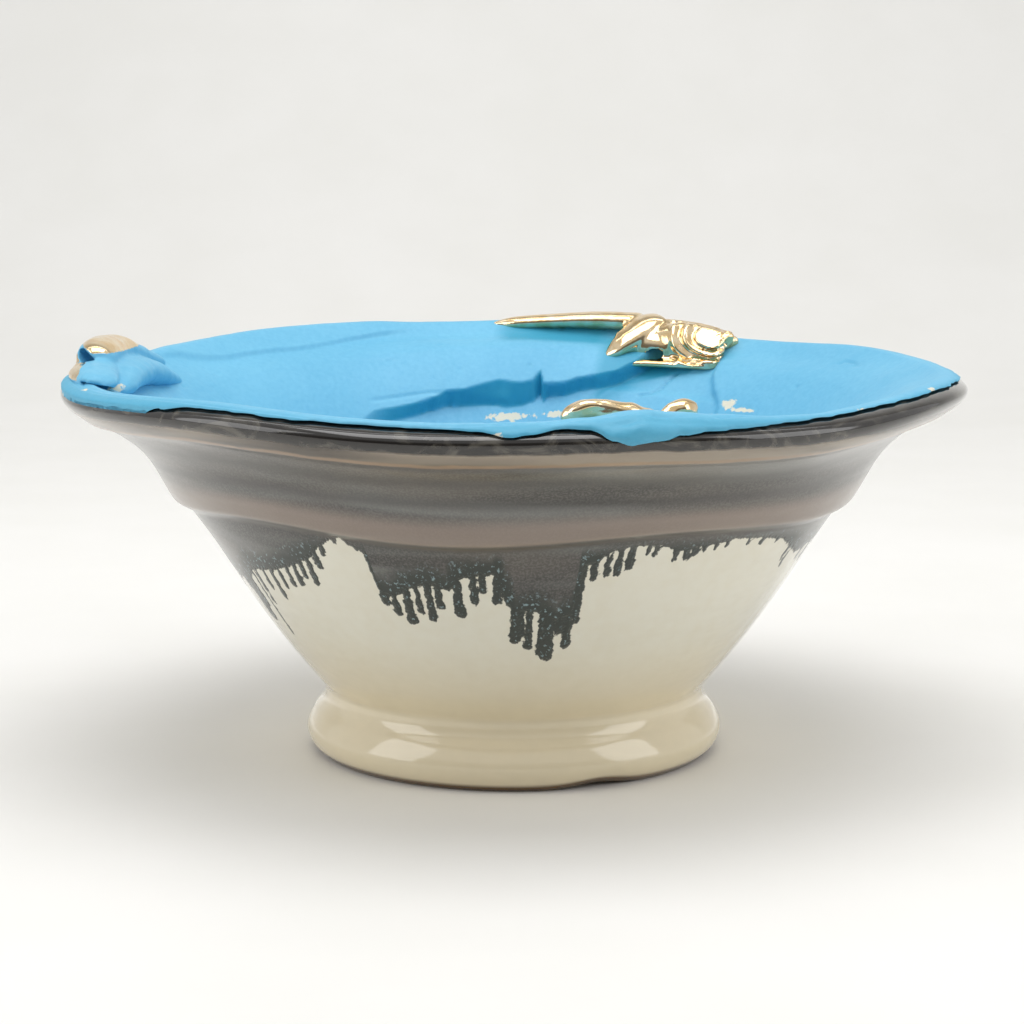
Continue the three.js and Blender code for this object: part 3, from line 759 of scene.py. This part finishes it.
NEAR_FOLDS = {
    "near_left": (0.12, [[5.6, 5.0, -1.0, 1.4, 1.2], [8.6, 5.2, 0.2, 3.0, 2.4], [12, 5.0, 0.2, 3.0, 2.2],
                         [18, 4.6, -0.6, 1.6, 1.3]]),
    "near_left_top": (0.12, [[6.4, 3.8, 0.0, 1.0, 1.0], [9, 3.6, 1.6, 1.6, 1.3],
                             [11.6, 3.6, 1.0, 1.6, 1.2], [14.5, 3.6, 0.2, 1.0, 0.8]]),
    "near_right": (0.12, [[17.8, 4.8, -0.8, 1.0, 1.0], [20.8, 4.8, 0.5, 2.2, 2.0],
                          [23.0, 4.8, 0.0, 1.2, 1.6]]),
}
CAVE = np.array([[155.2], [90.6], [87.4]])  # angle, distance from the axis, height
SHELL_MIDDLE = (53, 92.6)  # x and height of the shell's dish
SHELL_HALVES = (11.5, 7.6)
UPPER_HOLLOW = np.array([-98.4, -11.0, 93.2])
UPPER_HOLLOW_SLANT = 44
LOWER_HOLLOW = np.array([-93.4, -31.0, 89.0])


def fold_of(name, sizes, tubes, voxel, smoothing):
    """A fused fold from its table of tubes."""
    slip = SlipForm(ThrownForm(sizes), sizes)
    piece = fused([tube(part, slip, stations, cap=cap) for part, (cap, stations) in tubes.items()],
                  voxel, smoothing)
    piece.name = name
    return piece


def remade(piece, voxel, smoothing):
    """Gives an even mesh again after a cut."""
    apply_modifier(piece, "REMESH", mode="VOXEL", voxel_size=voxel * MM)
    apply_modifier(piece, "SMOOTH", factor=0.5, iterations=smoothing)


def gild(piece, material):
    """Covers the whole piece with gold."""
    count = len(piece.data.vertices)
    mark(piece, "gold", np.ones(count))
    mark(piece, "bare", np.full(count, -2))
    mark(piece, "deep", np.zeros(count))
    finish_piece(piece, material, "slip_lining")


def make_back_fold(sizes, material):
    piece = fold_of("gilded_back_fold", sizes, BACK_FOLD, 0.45, 3)
    hollow_out(piece, around(*CAVE)[0], (4.4, 5.5, 2.5), slant=-24, turned=12)
    remade(piece, 0.36, 3)
    points = places(piece)
    normals = outward(piece)
    angle, _, height = cylindrical(points)
    sideways = points[:, 0]
    facing = step(-normals[:, 1], 0.1, 0.5)
    from_middle = np.hypot((sideways - SHELL_MIDDLE[0]) / SHELL_HALVES[0],
                           (height - SHELL_MIDDLE[1]) / SHELL_HALVES[1])
    on_shell = facing * step(sideways, 41, 44) * step(height, 84.6, 86)
    crescents = 0.75 * np.cos(2 * math.pi * (from_middle - 0.92) / 0.3) * step(from_middle, 0.28, 0.5)
    dish = -1.3 * bump(from_middle, 0.42)
    ragged = noise(points, 1.6, 21) * 1.5 + noise(points, 3.4, 22) * 1.3
    under_ribbon = step(angle, 177, 172) * step(angle, 157, 162) * step(height, 94.5, 92)
    lift = on_shell * (crescents * step(sideways, 60, 54) + dish)
    lift = lift + step(sideways, 54.5, 58.5) * ragged
    lift = lift + 0.45 * under_ribbon * noise(points * [1, 1, 0.5], 2.2, 23)
    move_to(piece, points + normals * lift[:, None])
    gild(piece, material)


def make_left_curl(sizes, material):
    piece = fold_of("gilded_left_curl", sizes, LEFT_CURL, 0.45, 4)
    hollow_out(piece, UPPER_HOLLOW, (4.6, 4.6, 1.5), slant=UPPER_HOLLOW_SLANT)
    hollow_out(piece, LOWER_HOLLOW, (4.4, 4.6, 0.9), slant=17)
    remade(piece, 0.34, 2)
    points = places(piece)
    rumple = noise(points, 6, 31) * 0.35 + noise(points, 2.4, 32) * 0.12
    points = points + outward(piece) * rumple[:, None]
    widest = ThrownForm(sizes).rim - RIM_MARGIN
    far = np.hypot(points[:, 0], points[:, 1])
    points[:, :2] *= np.minimum(1, widest / far)[:, None]
    move_to(piece, points)
    sideways, deep, height = points.T
    over_crown = height - 94.6 - 0.03 * np.abs(deep - 6)
    outer_end = np.minimum(-sideways - 98.6, (height - 90.2) * 0.8)
    offset = points - UPPER_HOLLOW
    down_hollow, over_hollow = leaned(offset[:, 0], offset[:, 2], UPPER_HOLLOW_SLANT)
    in_hollow = (np.hypot(down_hollow / 4.8, over_hollow / 1.7) < 1) & (deep > -15) & (deep < -5)
    gold = np.clip(np.maximum(over_crown, outer_end), -1, 1)
    mark(piece, "gold", np.where(in_hollow, -1, gold))
    mark(piece, "bare", 1 - np.hypot((sideways + 91) / 2.6, (height - 87.8) / 1.8))
    # Painted shade on the lower side of the curl's outer end
    mark(piece, "deep", 0.5 * step(sideways, -99, -103) * step(height, 92, 89))
    finish_piece(piece, material, "slip_lining")


def make_near_folds(sizes, material):
    piece = fold_of("gilded_near_folds", sizes, NEAR_FOLDS, 0.3, 3)
    points = places(piece)
    move_to(piece, points + outward(piece) * (noise(points, 2.6, 41) * 0.4)[:, None])
    gild(piece, material)


# Materials

def linear(*parts):
    """A colour given as red, green and blue from 0 to 255, as a shader takes it."""
    shares = [part / 255 for part in parts]
    straight_part = [share / 12.92 if share <= 0.04045 else ((share + 0.055) / 1.055) ** 2.4
                     for share in shares]
    return (*straight_part, 1)


class Nodes:
    """Adds nodes to a tree. An input is a plain value, or another node's output to link."""

    def __init__(self, tree):
        self.tree = tree

    def add(self, kind, inputs=None, **settings):
        node = self.tree.nodes.new(kind)
        for name, value in settings.items():
            setattr(node, name, value)
        for key, value in (inputs or {}).items():
            self.feed(node.inputs[key], value)
        return node

    def feed(self, socket, value):
        if isinstance(value, bpy.types.NodeSocket):
            self.tree.links.new(value, socket)
        else:
            socket.default_value = value

    def math(self, operation, first, second):
        return self.add("ShaderNodeMath", {0: first, 1: second}, operation=operation).outputs[0]

    def ramp(self, value, low, high, start=0.0, end=1.0):
        """The value from low to high becomes start to end, with soft ends."""
        return self.add("ShaderNodeMapRange", {0: value, 1: low, 2: high, 3: start, 4: end},
                        interpolation_type="SMOOTHSTEP").outputs[0]

    def mix(self, share, first, second, blend="MIX"):
        return self.add("ShaderNodeMix", {0: share, 6: first, 7: second}, data_type="RGBA",
                        blend_type=blend).outputs[2]

    def attribute(self, name):
        return self.add("ShaderNodeAttribute", attribute_name=name).outputs["Fac"]

    def place(self, scale=(1, 1, 1)):
        """Object coordinates in metres, stretched."""
        coordinates = self.add("ShaderNodeTexCoord").outputs["Object"]
        return self.add("ShaderNodeMapping", {"Vector": coordinates, "Scale": scale}).outputs[0]

    def noise(self, vector, size, detail=3.0, rough=0.55, distortion=0.0):
        """Noise from 0 to 1 with features of this size in millimetres."""
        inputs = {"Vector": vector, "Scale": 1 / (size * MM), "Detail": detail, "Roughness": rough,
                  "Distortion": distortion}
        return self.add("ShaderNodeTexNoise", inputs).outputs["Fac"]


def new_material(name):
    material = bpy.data.materials.new(name)
    material.use_nodes = True
    return material, Nodes(material.node_tree), material.node_tree.nodes["Principled BSDF"]


def group(name, inputs, build):
    """A shader node group, made once. build gets the nodes and the input sockets and gives the
    outputs by name."""
    tree = bpy.data.node_groups.get(name)
    if tree is None:
        tree = bpy.data.node_groups.new(name, "ShaderNodeTree")
        for label, (kind, default) in inputs.items():
            socket = tree.interface.new_socket(name=label, in_out="INPUT", socket_type=kind)
            if default is not None:
                socket.default_value = default
        nodes = Nodes(tree)
        source = nodes.add("NodeGroupInput")
        results = build(nodes, source.outputs)
        for label in results:
            tree.interface.new_socket(name=label, in_out="OUTPUT", socket_type="NodeSocketFloat")
        nodes.add("NodeGroupOutput", results)
    return tree


def mottle_group():
    """Two sizes of soft patches, as one value round 0.5."""
    def build(nodes, source):
        place = nodes.place()
        halves = []
        for size, detail in (("Broad", 3.0), ("Fine", 4.0)):
            inputs = {"Vector": place, "Scale": source[size], "Detail": detail}
            patches = nodes.add("ShaderNodeTexNoise", inputs).outputs[0]
            halves.append(nodes.math("MULTIPLY", patches, 0.5))
        return {"Value": nodes.math("ADD", *halves)}
    inputs = {"Broad": ("NodeSocketFloat", 60.0), "Fine": ("NodeSocketFloat", 800.0)}
    return group("mottle", inputs, build)


def mottled(nodes, broad, fine):
    """Patches of these sizes in millimetres."""
    node = nodes.add("ShaderNodeGroup", node_tree=mottle_group())
    node.inputs["Broad"].default_value = 1 / (broad * MM)
    node.inputs["Fine"].default_value = 1 / (fine * MM)
    return node.outputs["Value"]


def whole(colour):
    """A colour of the settings with its alpha."""
    return (*colour, 1)


def glaze_material(colours):
    material, nodes, shader = new_material("glaze_finish")
    height = nodes.attribute("turned_height")
    place = nodes.place()
    edge = nodes.noise(nodes.place((1, 1, 0.55)), 1.1, detail=2.0)
    runs = nodes.attribute("runs")
    depth = nodes.math("ADD", runs, nodes.math("MULTIPLY", nodes.math("SUBTRACT", edge, 0.5), 1.5))
    dark = nodes.ramp(depth, -0.12, 0.12)

    cream = nodes.mix(nodes.ramp(height, 40, 14), whole(colours.cream), linear(*CREAM_LOW))
    cream = nodes.mix(nodes.ramp(mottled(nodes, 22, 3), 0.35, 0.75, 0, 0.25), cream, linear(*CREAM_WARM))
    cream = nodes.mix(nodes.ramp(height, 2.2, 0.9), cream, linear(*FOOT_LINE))

    streaks = nodes.noise(nodes.place((0.06, 0.06, 1)), 6.5, detail=2.0, rough=0.45, distortion=0.3)
    broad = nodes.noise(nodes.place((0.3, 0.3, 1)), 13, detail=2.0)
    grain = nodes.noise(place, 0.5, detail=3.0)
    grey = nodes.mix(nodes.ramp(streaks, 0.36, 0.62), linear(*GREY_DARK), whole(colours.grey))
    grey = nodes.mix(nodes.ramp(broad, 0.42, 0.66, 0, 0.7), grey, linear(*GREY_WARM))
    grey = nodes.mix(nodes.ramp(grain, 0.4, 0.65, 0, 0.22), grey, linear(*GREY_LIGHT))
    waver = nodes.noise(nodes.place((0.3, 0.3, 0.3)), 10)
    wavy = nodes.math("ADD", height, nodes.math("MULTIPLY", waver, 2.0))
    for low, middle, high in THROWN_BANDS:
        band = nodes.math("MULTIPLY", nodes.ramp(wavy, low, middle), nodes.ramp(wavy, high, middle))
        grey = nodes.mix(nodes.math("MULTIPLY", band, 0.6), grey, linear(*GREY_DARK))
    over_ridge = nodes.math("MULTIPLY", nodes.ramp(height, 61.4, 62.4), nodes.ramp(height, 70, 65.5))
    grey = nodes.mix(nodes.math("MULTIPLY", over_ridge, 0.75), grey, linear(*RIDGE_PINK))
    line = nodes.math("MULTIPLY", nodes.ramp(height, 59.6, 60.9), nodes.ramp(height, 62.2, 61.2))
    grey = nodes.mix(nodes.math("MULTIPLY", line, 0.8), grey, linear(*RIDGE_LINE))

    low = nodes.ramp(height, 61, 57)
    fringe = nodes.math("MULTIPLY", nodes.ramp(depth, 6.5, 1.5), low)
    specks = nodes.ramp(nodes.noise(nodes.place((1, 1, 0.7)), 0.9, detail=2.0, rough=0.7), 0.56, 0.7)
    specks = nodes.math("MULTIPLY", specks, nodes.ramp(depth, 0.3, 0.9))
    fringe_colour = nodes.mix(specks, linear(*RUN_DARK), linear(*RUN_SPECK))
    grey = nodes.mix(fringe, grey, fringe_colour)

    lip_waver = nodes.noise(nodes.place((1, 1, 0.4)), 9)
    lip = nodes.math("ADD", height, nodes.math("MULTIPLY", lip_waver, 1.2))
    band = nodes.mix(nodes.ramp(streaks, 0.4, 0.6), linear(*BAND_DARK), linear(*BAND_GREY))
    grey = nodes.mix(nodes.ramp(lip, 82.3, 82.9), grey, band)
    brown = nodes.math("MULTIPLY", nodes.ramp(lip, 82.0, 82.5), nodes.ramp(lip, 83.4, 82.8))
    grey = nodes.mix(nodes.math("MULTIPLY", brown, 0.8), grey, linear(*BROWN_LINE))
    # Lighter marbled patches on the dark lip: painted reflection of the tent in the wavy glaze, partly the glaze's
    # own patchy tone
    marbling_and_reflection = nodes.noise(nodes.place((0.5, 0.5, 1)), 5, detail=3.0, distortion=1.6)
    lip_colour = nodes.mix(nodes.ramp(marbling_and_reflection, 0.5, 0.72), linear(*LIP_DARK), linear(*LIP_MARBLE_AND_REFLECTION))
    lip_share = nodes.ramp(lip, 85.2, 85.9)
    grey = nodes.mix(lip_share, grey, lip_colour)

    nodes.feed(shader.inputs["Base Color"], nodes.mix(dark, cream, grey))
    satin = nodes.math("MULTIPLY", dark, nodes.ramp(lip_share, 0, 1, 0.2, 0))
    nodes.feed(shader.inputs["Roughness"], nodes.math("ADD", 0.1, satin))
    thick = nodes.math("MULTIPLY", nodes.ramp(depth, -0.2, 0.8), 0.2 * MM)
    ripple = nodes.math("MULTIPLY", nodes.noise(nodes.place((0.3, 0.3, 1)), 5.5, detail=2.0), 0.22 * MM)
    relief = nodes.math("ADD", thick, ripple)
    bump_node = nodes.add("ShaderNodeBump", {"Height": relief, "Distance": 1.0, "Strength": 1.0})
    nodes.feed(shader.inputs["Normal"], bump_node.outputs[0])
    shader.inputs["Coat Weight"].default_value = 0.6
    shader.inputs["Coat Roughness"].default_value = 0.05
    return material


def slip_material(colours):
    material, nodes, shader = new_material("slip_and_gold")
    patches = mottled(nodes, 30, 1.3)
    blue = nodes.mix(nodes.ramp(patches, 0.3, 0.7), linear(*SLIP_DEEP), whole(colours.slip))
    # Darker teal from the deep attribute: painted shade and shadow, on the torn faces partly the torn slip's own
    # tone
    blue = nodes.mix(nodes.attribute("deep"), blue, linear(*SLIP_TORN_AND_SHADE))
    bare = nodes.attribute("bare")
    ragged = nodes.noise(nodes.place(), 1.6, detail=4.0)
    worn = nodes.math("ADD", bare, nodes.math("MULTIPLY", nodes.math("SUBTRACT", ragged, 0.5), 1.4))
    blue = nodes.mix(nodes.ramp(worn, 0.4, 0.6), blue, linear(*BARE_CREAM))
    gold_edge = nodes.math("ADD", nodes.attribute("gold"),
                           nodes.math("MULTIPLY", nodes.math("SUBTRACT", ragged, 0.5), 0.9))
    gold = nodes.ramp(gold_edge, -0.1, 0.1)
    gold_patches = nodes.ramp(nodes.noise(nodes.place(), 3.5), 0.35, 0.7)
    tone = nodes.mix(gold_patches, linear(*GOLD_DEEP), whole(colours.gold))
    nodes.feed(shader.inputs["Base Color"], nodes.mix(gold, blue, tone))
    nodes.feed(shader.inputs["Metallic"], gold)
    nodes.feed(shader.inputs["Roughness"], nodes.ramp(gold, 0, 1, 0.5, 0.13))
    grain = nodes.math("MULTIPLY", nodes.noise(nodes.place(), 0.8, detail=3.0), 0.06 * MM)
    swell = nodes.math("MULTIPLY", nodes.noise(nodes.place(), 4.5, detail=1.0), 0.16 * MM)
    relief = nodes.math("ADD", nodes.math("MULTIPLY", grain, nodes.ramp(gold, 0, 1, 1, 0.15)), swell)
    bump_node = nodes.add("ShaderNodeBump", {"Height": relief, "Distance": 1.0, "Strength": 1.0})
    nodes.feed(shader.inputs["Normal"], bump_node.outputs[0])
    return material


# Darker bands round the wall where the throwing rings run: lower edge, middle and upper edge in height
THROWN_BANDS = [(75.8, 78, 80.4), (70.4, 72.8, 75.0)]
CREAM_LOW = (230, 217, 186)
CREAM_WARM = (216, 205, 175)
FOOT_LINE = (104, 76, 34)
GREY_DARK = (56, 54, 52)
GREY_WARM = (92, 86, 80)
GREY_LIGHT = (150, 148, 140)
RIDGE_PINK = (150, 134, 122)
RIDGE_LINE = (62, 56, 50)
RUN_DARK = (38, 46, 40)
RUN_SPECK = (132, 156, 160)
BAND_DARK = (72, 64, 56)
BAND_GREY = (150, 138, 122)
BROWN_LINE = (158, 128, 100)
LIP_DARK = (26, 22, 18)
# Lighter marbled patches of the lip: painted reflection, partly the glaze's own tone
LIP_MARBLE_AND_REFLECTION = (84, 80, 72)
SLIP_DEEP = (98, 178, 214)
# Darker teal of the painted shade on the slip, partly the torn slip's own tone
SLIP_TORN_AND_SHADE = (46, 154, 188)
BARE_CREAM = (226, 220, 200)
GOLD_DEEP = (238, 206, 154)


# The stage

def table_and_backdrop():
    """A pale table that curves up behind the bowl."""
    select_only()
    bpy.ops.mesh.primitive_grid_add(x_subdivisions=8, y_subdivisions=60, size=2)
    sweep = bpy.context.object
    sweep.name = "table_and_backdrop"
    flat = places(sweep) * MM
    share = (flat[:, 1] + 1) / 2
    front, back, bend, top = -900, 700, 500, 1500
    arc = bend * math.pi / 2
    travel = share * (back - front + arc + top)
    swing = np.clip((travel - (back - front)) / bend, 0, math.pi / 2)
    depth = front + np.minimum(travel, back - front) + bend * np.sin(swing)
    height = bend * (1 - np.cos(swing)) + np.clip(travel - (back - front) - arc, 0, None)
    move_to(sweep, np.stack([flat[:, 0] * SWEEP_HALF_WIDTH, depth, height], axis=-1))
    bpy.ops.object.shade_smooth()
    material, nodes, shader = new_material("pale_table")
    shade = nodes.ramp(mottled(nodes, 260, 60), 0.3, 0.7)
    nodes.feed(shader.inputs["Base Color"], nodes.mix(shade, linear(*TABLE_LOW), linear(*TABLE_HIGH)))
    shader.inputs["Roughness"].default_value = 0.6
    sweep.data.materials.append(material)


SWEEP_HALF_WIDTH = 1600
TABLE_LOW = (237, 236, 232)
TABLE_HIGH = (241, 240, 237)


CAMERA_PLACE = (-0.47, -560, 141)
CAMERA_TILT = 81.38
CAMERA_LENS = 83.18


def camera_at_the_photographs_place(context):
    bpy.ops.object.camera_add(location=Vector(CAMERA_PLACE) * MM,
                              rotation=(math.radians(CAMERA_TILT), 0, 0))
    camera = context.object
    camera.data.lens = CAMERA_LENS
    camera.data.sensor_width = 36
    camera.data.clip_start = 0.01
    context.scene.camera = camera


def softbox(name, place, aim, size, energy):
    """A rectangular light. Place, aim and size are in millimetres, its energy in watts."""
    direction = Vector(aim) - Vector(place)
    bpy.ops.object.light_add(type="AREA", location=Vector(place) * MM,
                             rotation=direction.to_track_quat("-Z", "Y").to_euler())
    light = bpy.context.object
    light.name = name
    light.data.shape = "RECTANGLE"
    light.data.size, light.data.size_y = size[0] * MM, size[1] * MM
    light.data.energy = energy


def tent_lights(context):
    """A white tent with a grey front, and softboxes over it, at both sides and for the backdrop."""
    world = bpy.data.worlds.new("tent")
    world.use_nodes = True
    nodes = Nodes(world.node_tree)
    direction = nodes.add("ShaderNodeTexCoord").outputs["Generated"]
    parts = nodes.add("ShaderNodeSeparateXYZ", {0: direction}).outputs
    behind_camera = nodes.ramp(parts[1], -0.25, -0.75)
    low = nodes.ramp(parts[2], 0.62, 0.3)
    share = nodes.math("MULTIPLY", behind_camera, low)
    background = world.node_tree.nodes["Background"]
    nodes.feed(background.inputs["Color"], nodes.mix(share, (1, 1, 1, 1), (0.22, 0.22, 0.22, 1)))
    background.inputs["Strength"].default_value = 0.66
    context.scene.world = world
    softbox("top_softbox", (0, -90, 800), (0, 0, 60), (700, 500), 3.2)
    softbox("left_softbox", (-620, -240, 330), (0, 0, 40), (380, 560), 1.3)
    softbox("right_softbox", (620, -240, 330), (0, 0, 40), (380, 560), 1.3)
    softbox("backdrop_softbox", (0, 420, 1000), (0, 1200, 420), (1400, 300), 3.8)
    context.scene.view_settings.view_transform = "Standard"


# Settings, operators and the panel

def length(name, description, default):
    return bpy.props.FloatProperty(name=name, description=description, default=default * MM, min=0,
                                   precision=5, unit="LENGTH", subtype="DISTANCE")


RIM_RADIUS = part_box("bowl")[1].x / MM


class BowlSizes(bpy.types.PropertyGroup):
    rim_diameter: length("Rim", "Across the lip at its widest line", 2 * RIM_RADIUS)
    rim_height: length("Rim height", "Widest line of the lip above the table", 87)
    lip_reach: length("Lip reach", "How far the lip stands out past the wall", RIM_RADIUS - 101)
    wall_thickness: length("Wall", "Thickness of the thrown wall", 5.7)
    floor_thickness: length("Floor", "Thickness of the floor over the recess", 7.5)
    floor_diameter: length("Flat floor", "Across the flat part of the inside floor", 52)
    ridge_height: length("Ridge height", "Height of the step line round the outside", 61.6)
    ridge_step: length("Ridge step", "How far the wall stands out over the line", 2.3)
    neck_diameter: length("Neck", "Across the crease over the foot", 90.6)
    foot_height: length("Foot height", "From the table to the crease", 15.5)
    foot_diameter: length("Foot", "Across the foot at its widest", 99.8)
    foot_tuck: length("Foot tuck", "How far the foot tucks in at the table", 3.2)
    slip_thickness: length("Slip", "Thickness of the first coat of slip", 2.1)
    sheet_thickness: length("Torn sheet", "Thickness of the upper sheet of slip", 4.6)
    edge_share: bpy.props.FloatProperty(
        name="Edge", description="Thickness of the slip near its edge, against the rest",
        default=0.6, min=0.1, max=1, subtype="FACTOR")


def colour(name, description, *parts):
    return bpy.props.FloatVectorProperty(name=name, description=description, subtype="COLOR", size=3,
                                         min=0, max=1, default=linear(*parts)[:3])


class BowlColours(bpy.types.PropertyGroup):
    cream: colour("Cream glaze", "Glaze of the lower wall and the foot", 230, 227, 211)
    grey: colour("Dark glaze", "Glaze of the upper wall", 114, 115, 112)
    slip: colour("Slip", "The lining", 112, 188, 221)
    gold: colour("Gold", "Lustre on the folds", 250, 230, 194)


class BowlPart:
    """What the bowl's operators share."""
    bl_options = {"REGISTER", "UNDO"}


class BOWL_OT_glazed_bowl(BowlPart, bpy.types.Operator):
    """Spin the thrown bowl and glaze it"""
    bl_idname = "bowl.glazed_bowl"
    bl_label = "Glazed bowl"

    def execute(self, context):
        make_glazed_bowl(context.scene.bowl_sizes, glaze_material(context.scene.bowl_colours))
        return {"FINISHED"}


class BOWL_OT_slip_lining(BowlPart, bpy.types.Operator):
    """Lay the blue slip over the inside and the lip"""
    bl_idname = "bowl.slip_lining"
    bl_label = "Blue slip lining"

    def execute(self, context):
        make_slip_lining(context.scene.bowl_sizes, slip_material(context.scene.bowl_colours))
        return {"FINISHED"}


class BOWL_OT_gilded_folds(BowlPart, bpy.types.Operator):
    """Raise the gilded folds at the back, at the left and behind the near rim"""
    bl_idname = "bowl.gilded_folds"
    bl_label = "Gilded folds"

    def execute(self, context):
        gold = bpy.data.materials["slip_and_gold"]
        make_back_fold(context.scene.bowl_sizes, gold)
        make_left_curl(context.scene.bowl_sizes, gold)
        make_near_folds(context.scene.bowl_sizes, gold)
        return {"FINISHED"}


class BOWL_OT_stage(BowlPart, bpy.types.Operator):
    """Set the pale table, the lights and the camera"""
    bl_idname = "bowl.stage"
    bl_label = "Stage"

    def execute(self, context):
        table_and_backdrop()
        camera_at_the_photographs_place(context)
        tent_lights(context)
        return {"FINISHED"}


class BOWL_PT_panel(bpy.types.Panel):
    """The bowl's sizes and operators"""
    bl_label = "Slip lined bowl"
    bl_space_type = "VIEW_3D"
    bl_region_type = "UI"
    bl_category = "Bowl"

    def draw(self, context):
        for settings in (context.scene.bowl_sizes, context.scene.bowl_colours):
            for name in type(settings).__annotations__:
                self.layout.prop(settings, name)
        for operator in OPERATORS:
            self.layout.operator(operator.bl_idname)


OPERATORS = [BOWL_OT_stage, BOWL_OT_glazed_bowl, BOWL_OT_slip_lining, BOWL_OT_gilded_folds]
CLASSES = [BowlSizes, BowlColours, *OPERATORS, BOWL_PT_panel]


def register():
    for cls in CLASSES:
        bpy.utils.register_class(cls)
    bpy.types.Scene.bowl_sizes = bpy.props.PointerProperty(type=BowlSizes)
    bpy.types.Scene.bowl_colours = bpy.props.PointerProperty(type=BowlColours)


def unregister():
    del bpy.types.Scene.bowl_sizes
    del bpy.types.Scene.bowl_colours
    for cls in reversed(CLASSES):
        bpy.utils.unregister_class(cls)


def main():
    register()
    bpy.ops.bowl.stage()
    bpy.ops.bowl.glazed_bowl()
    bpy.ops.bowl.slip_lining()
    bpy.ops.bowl.gilded_folds()


if __name__ == "__main__":
    main()
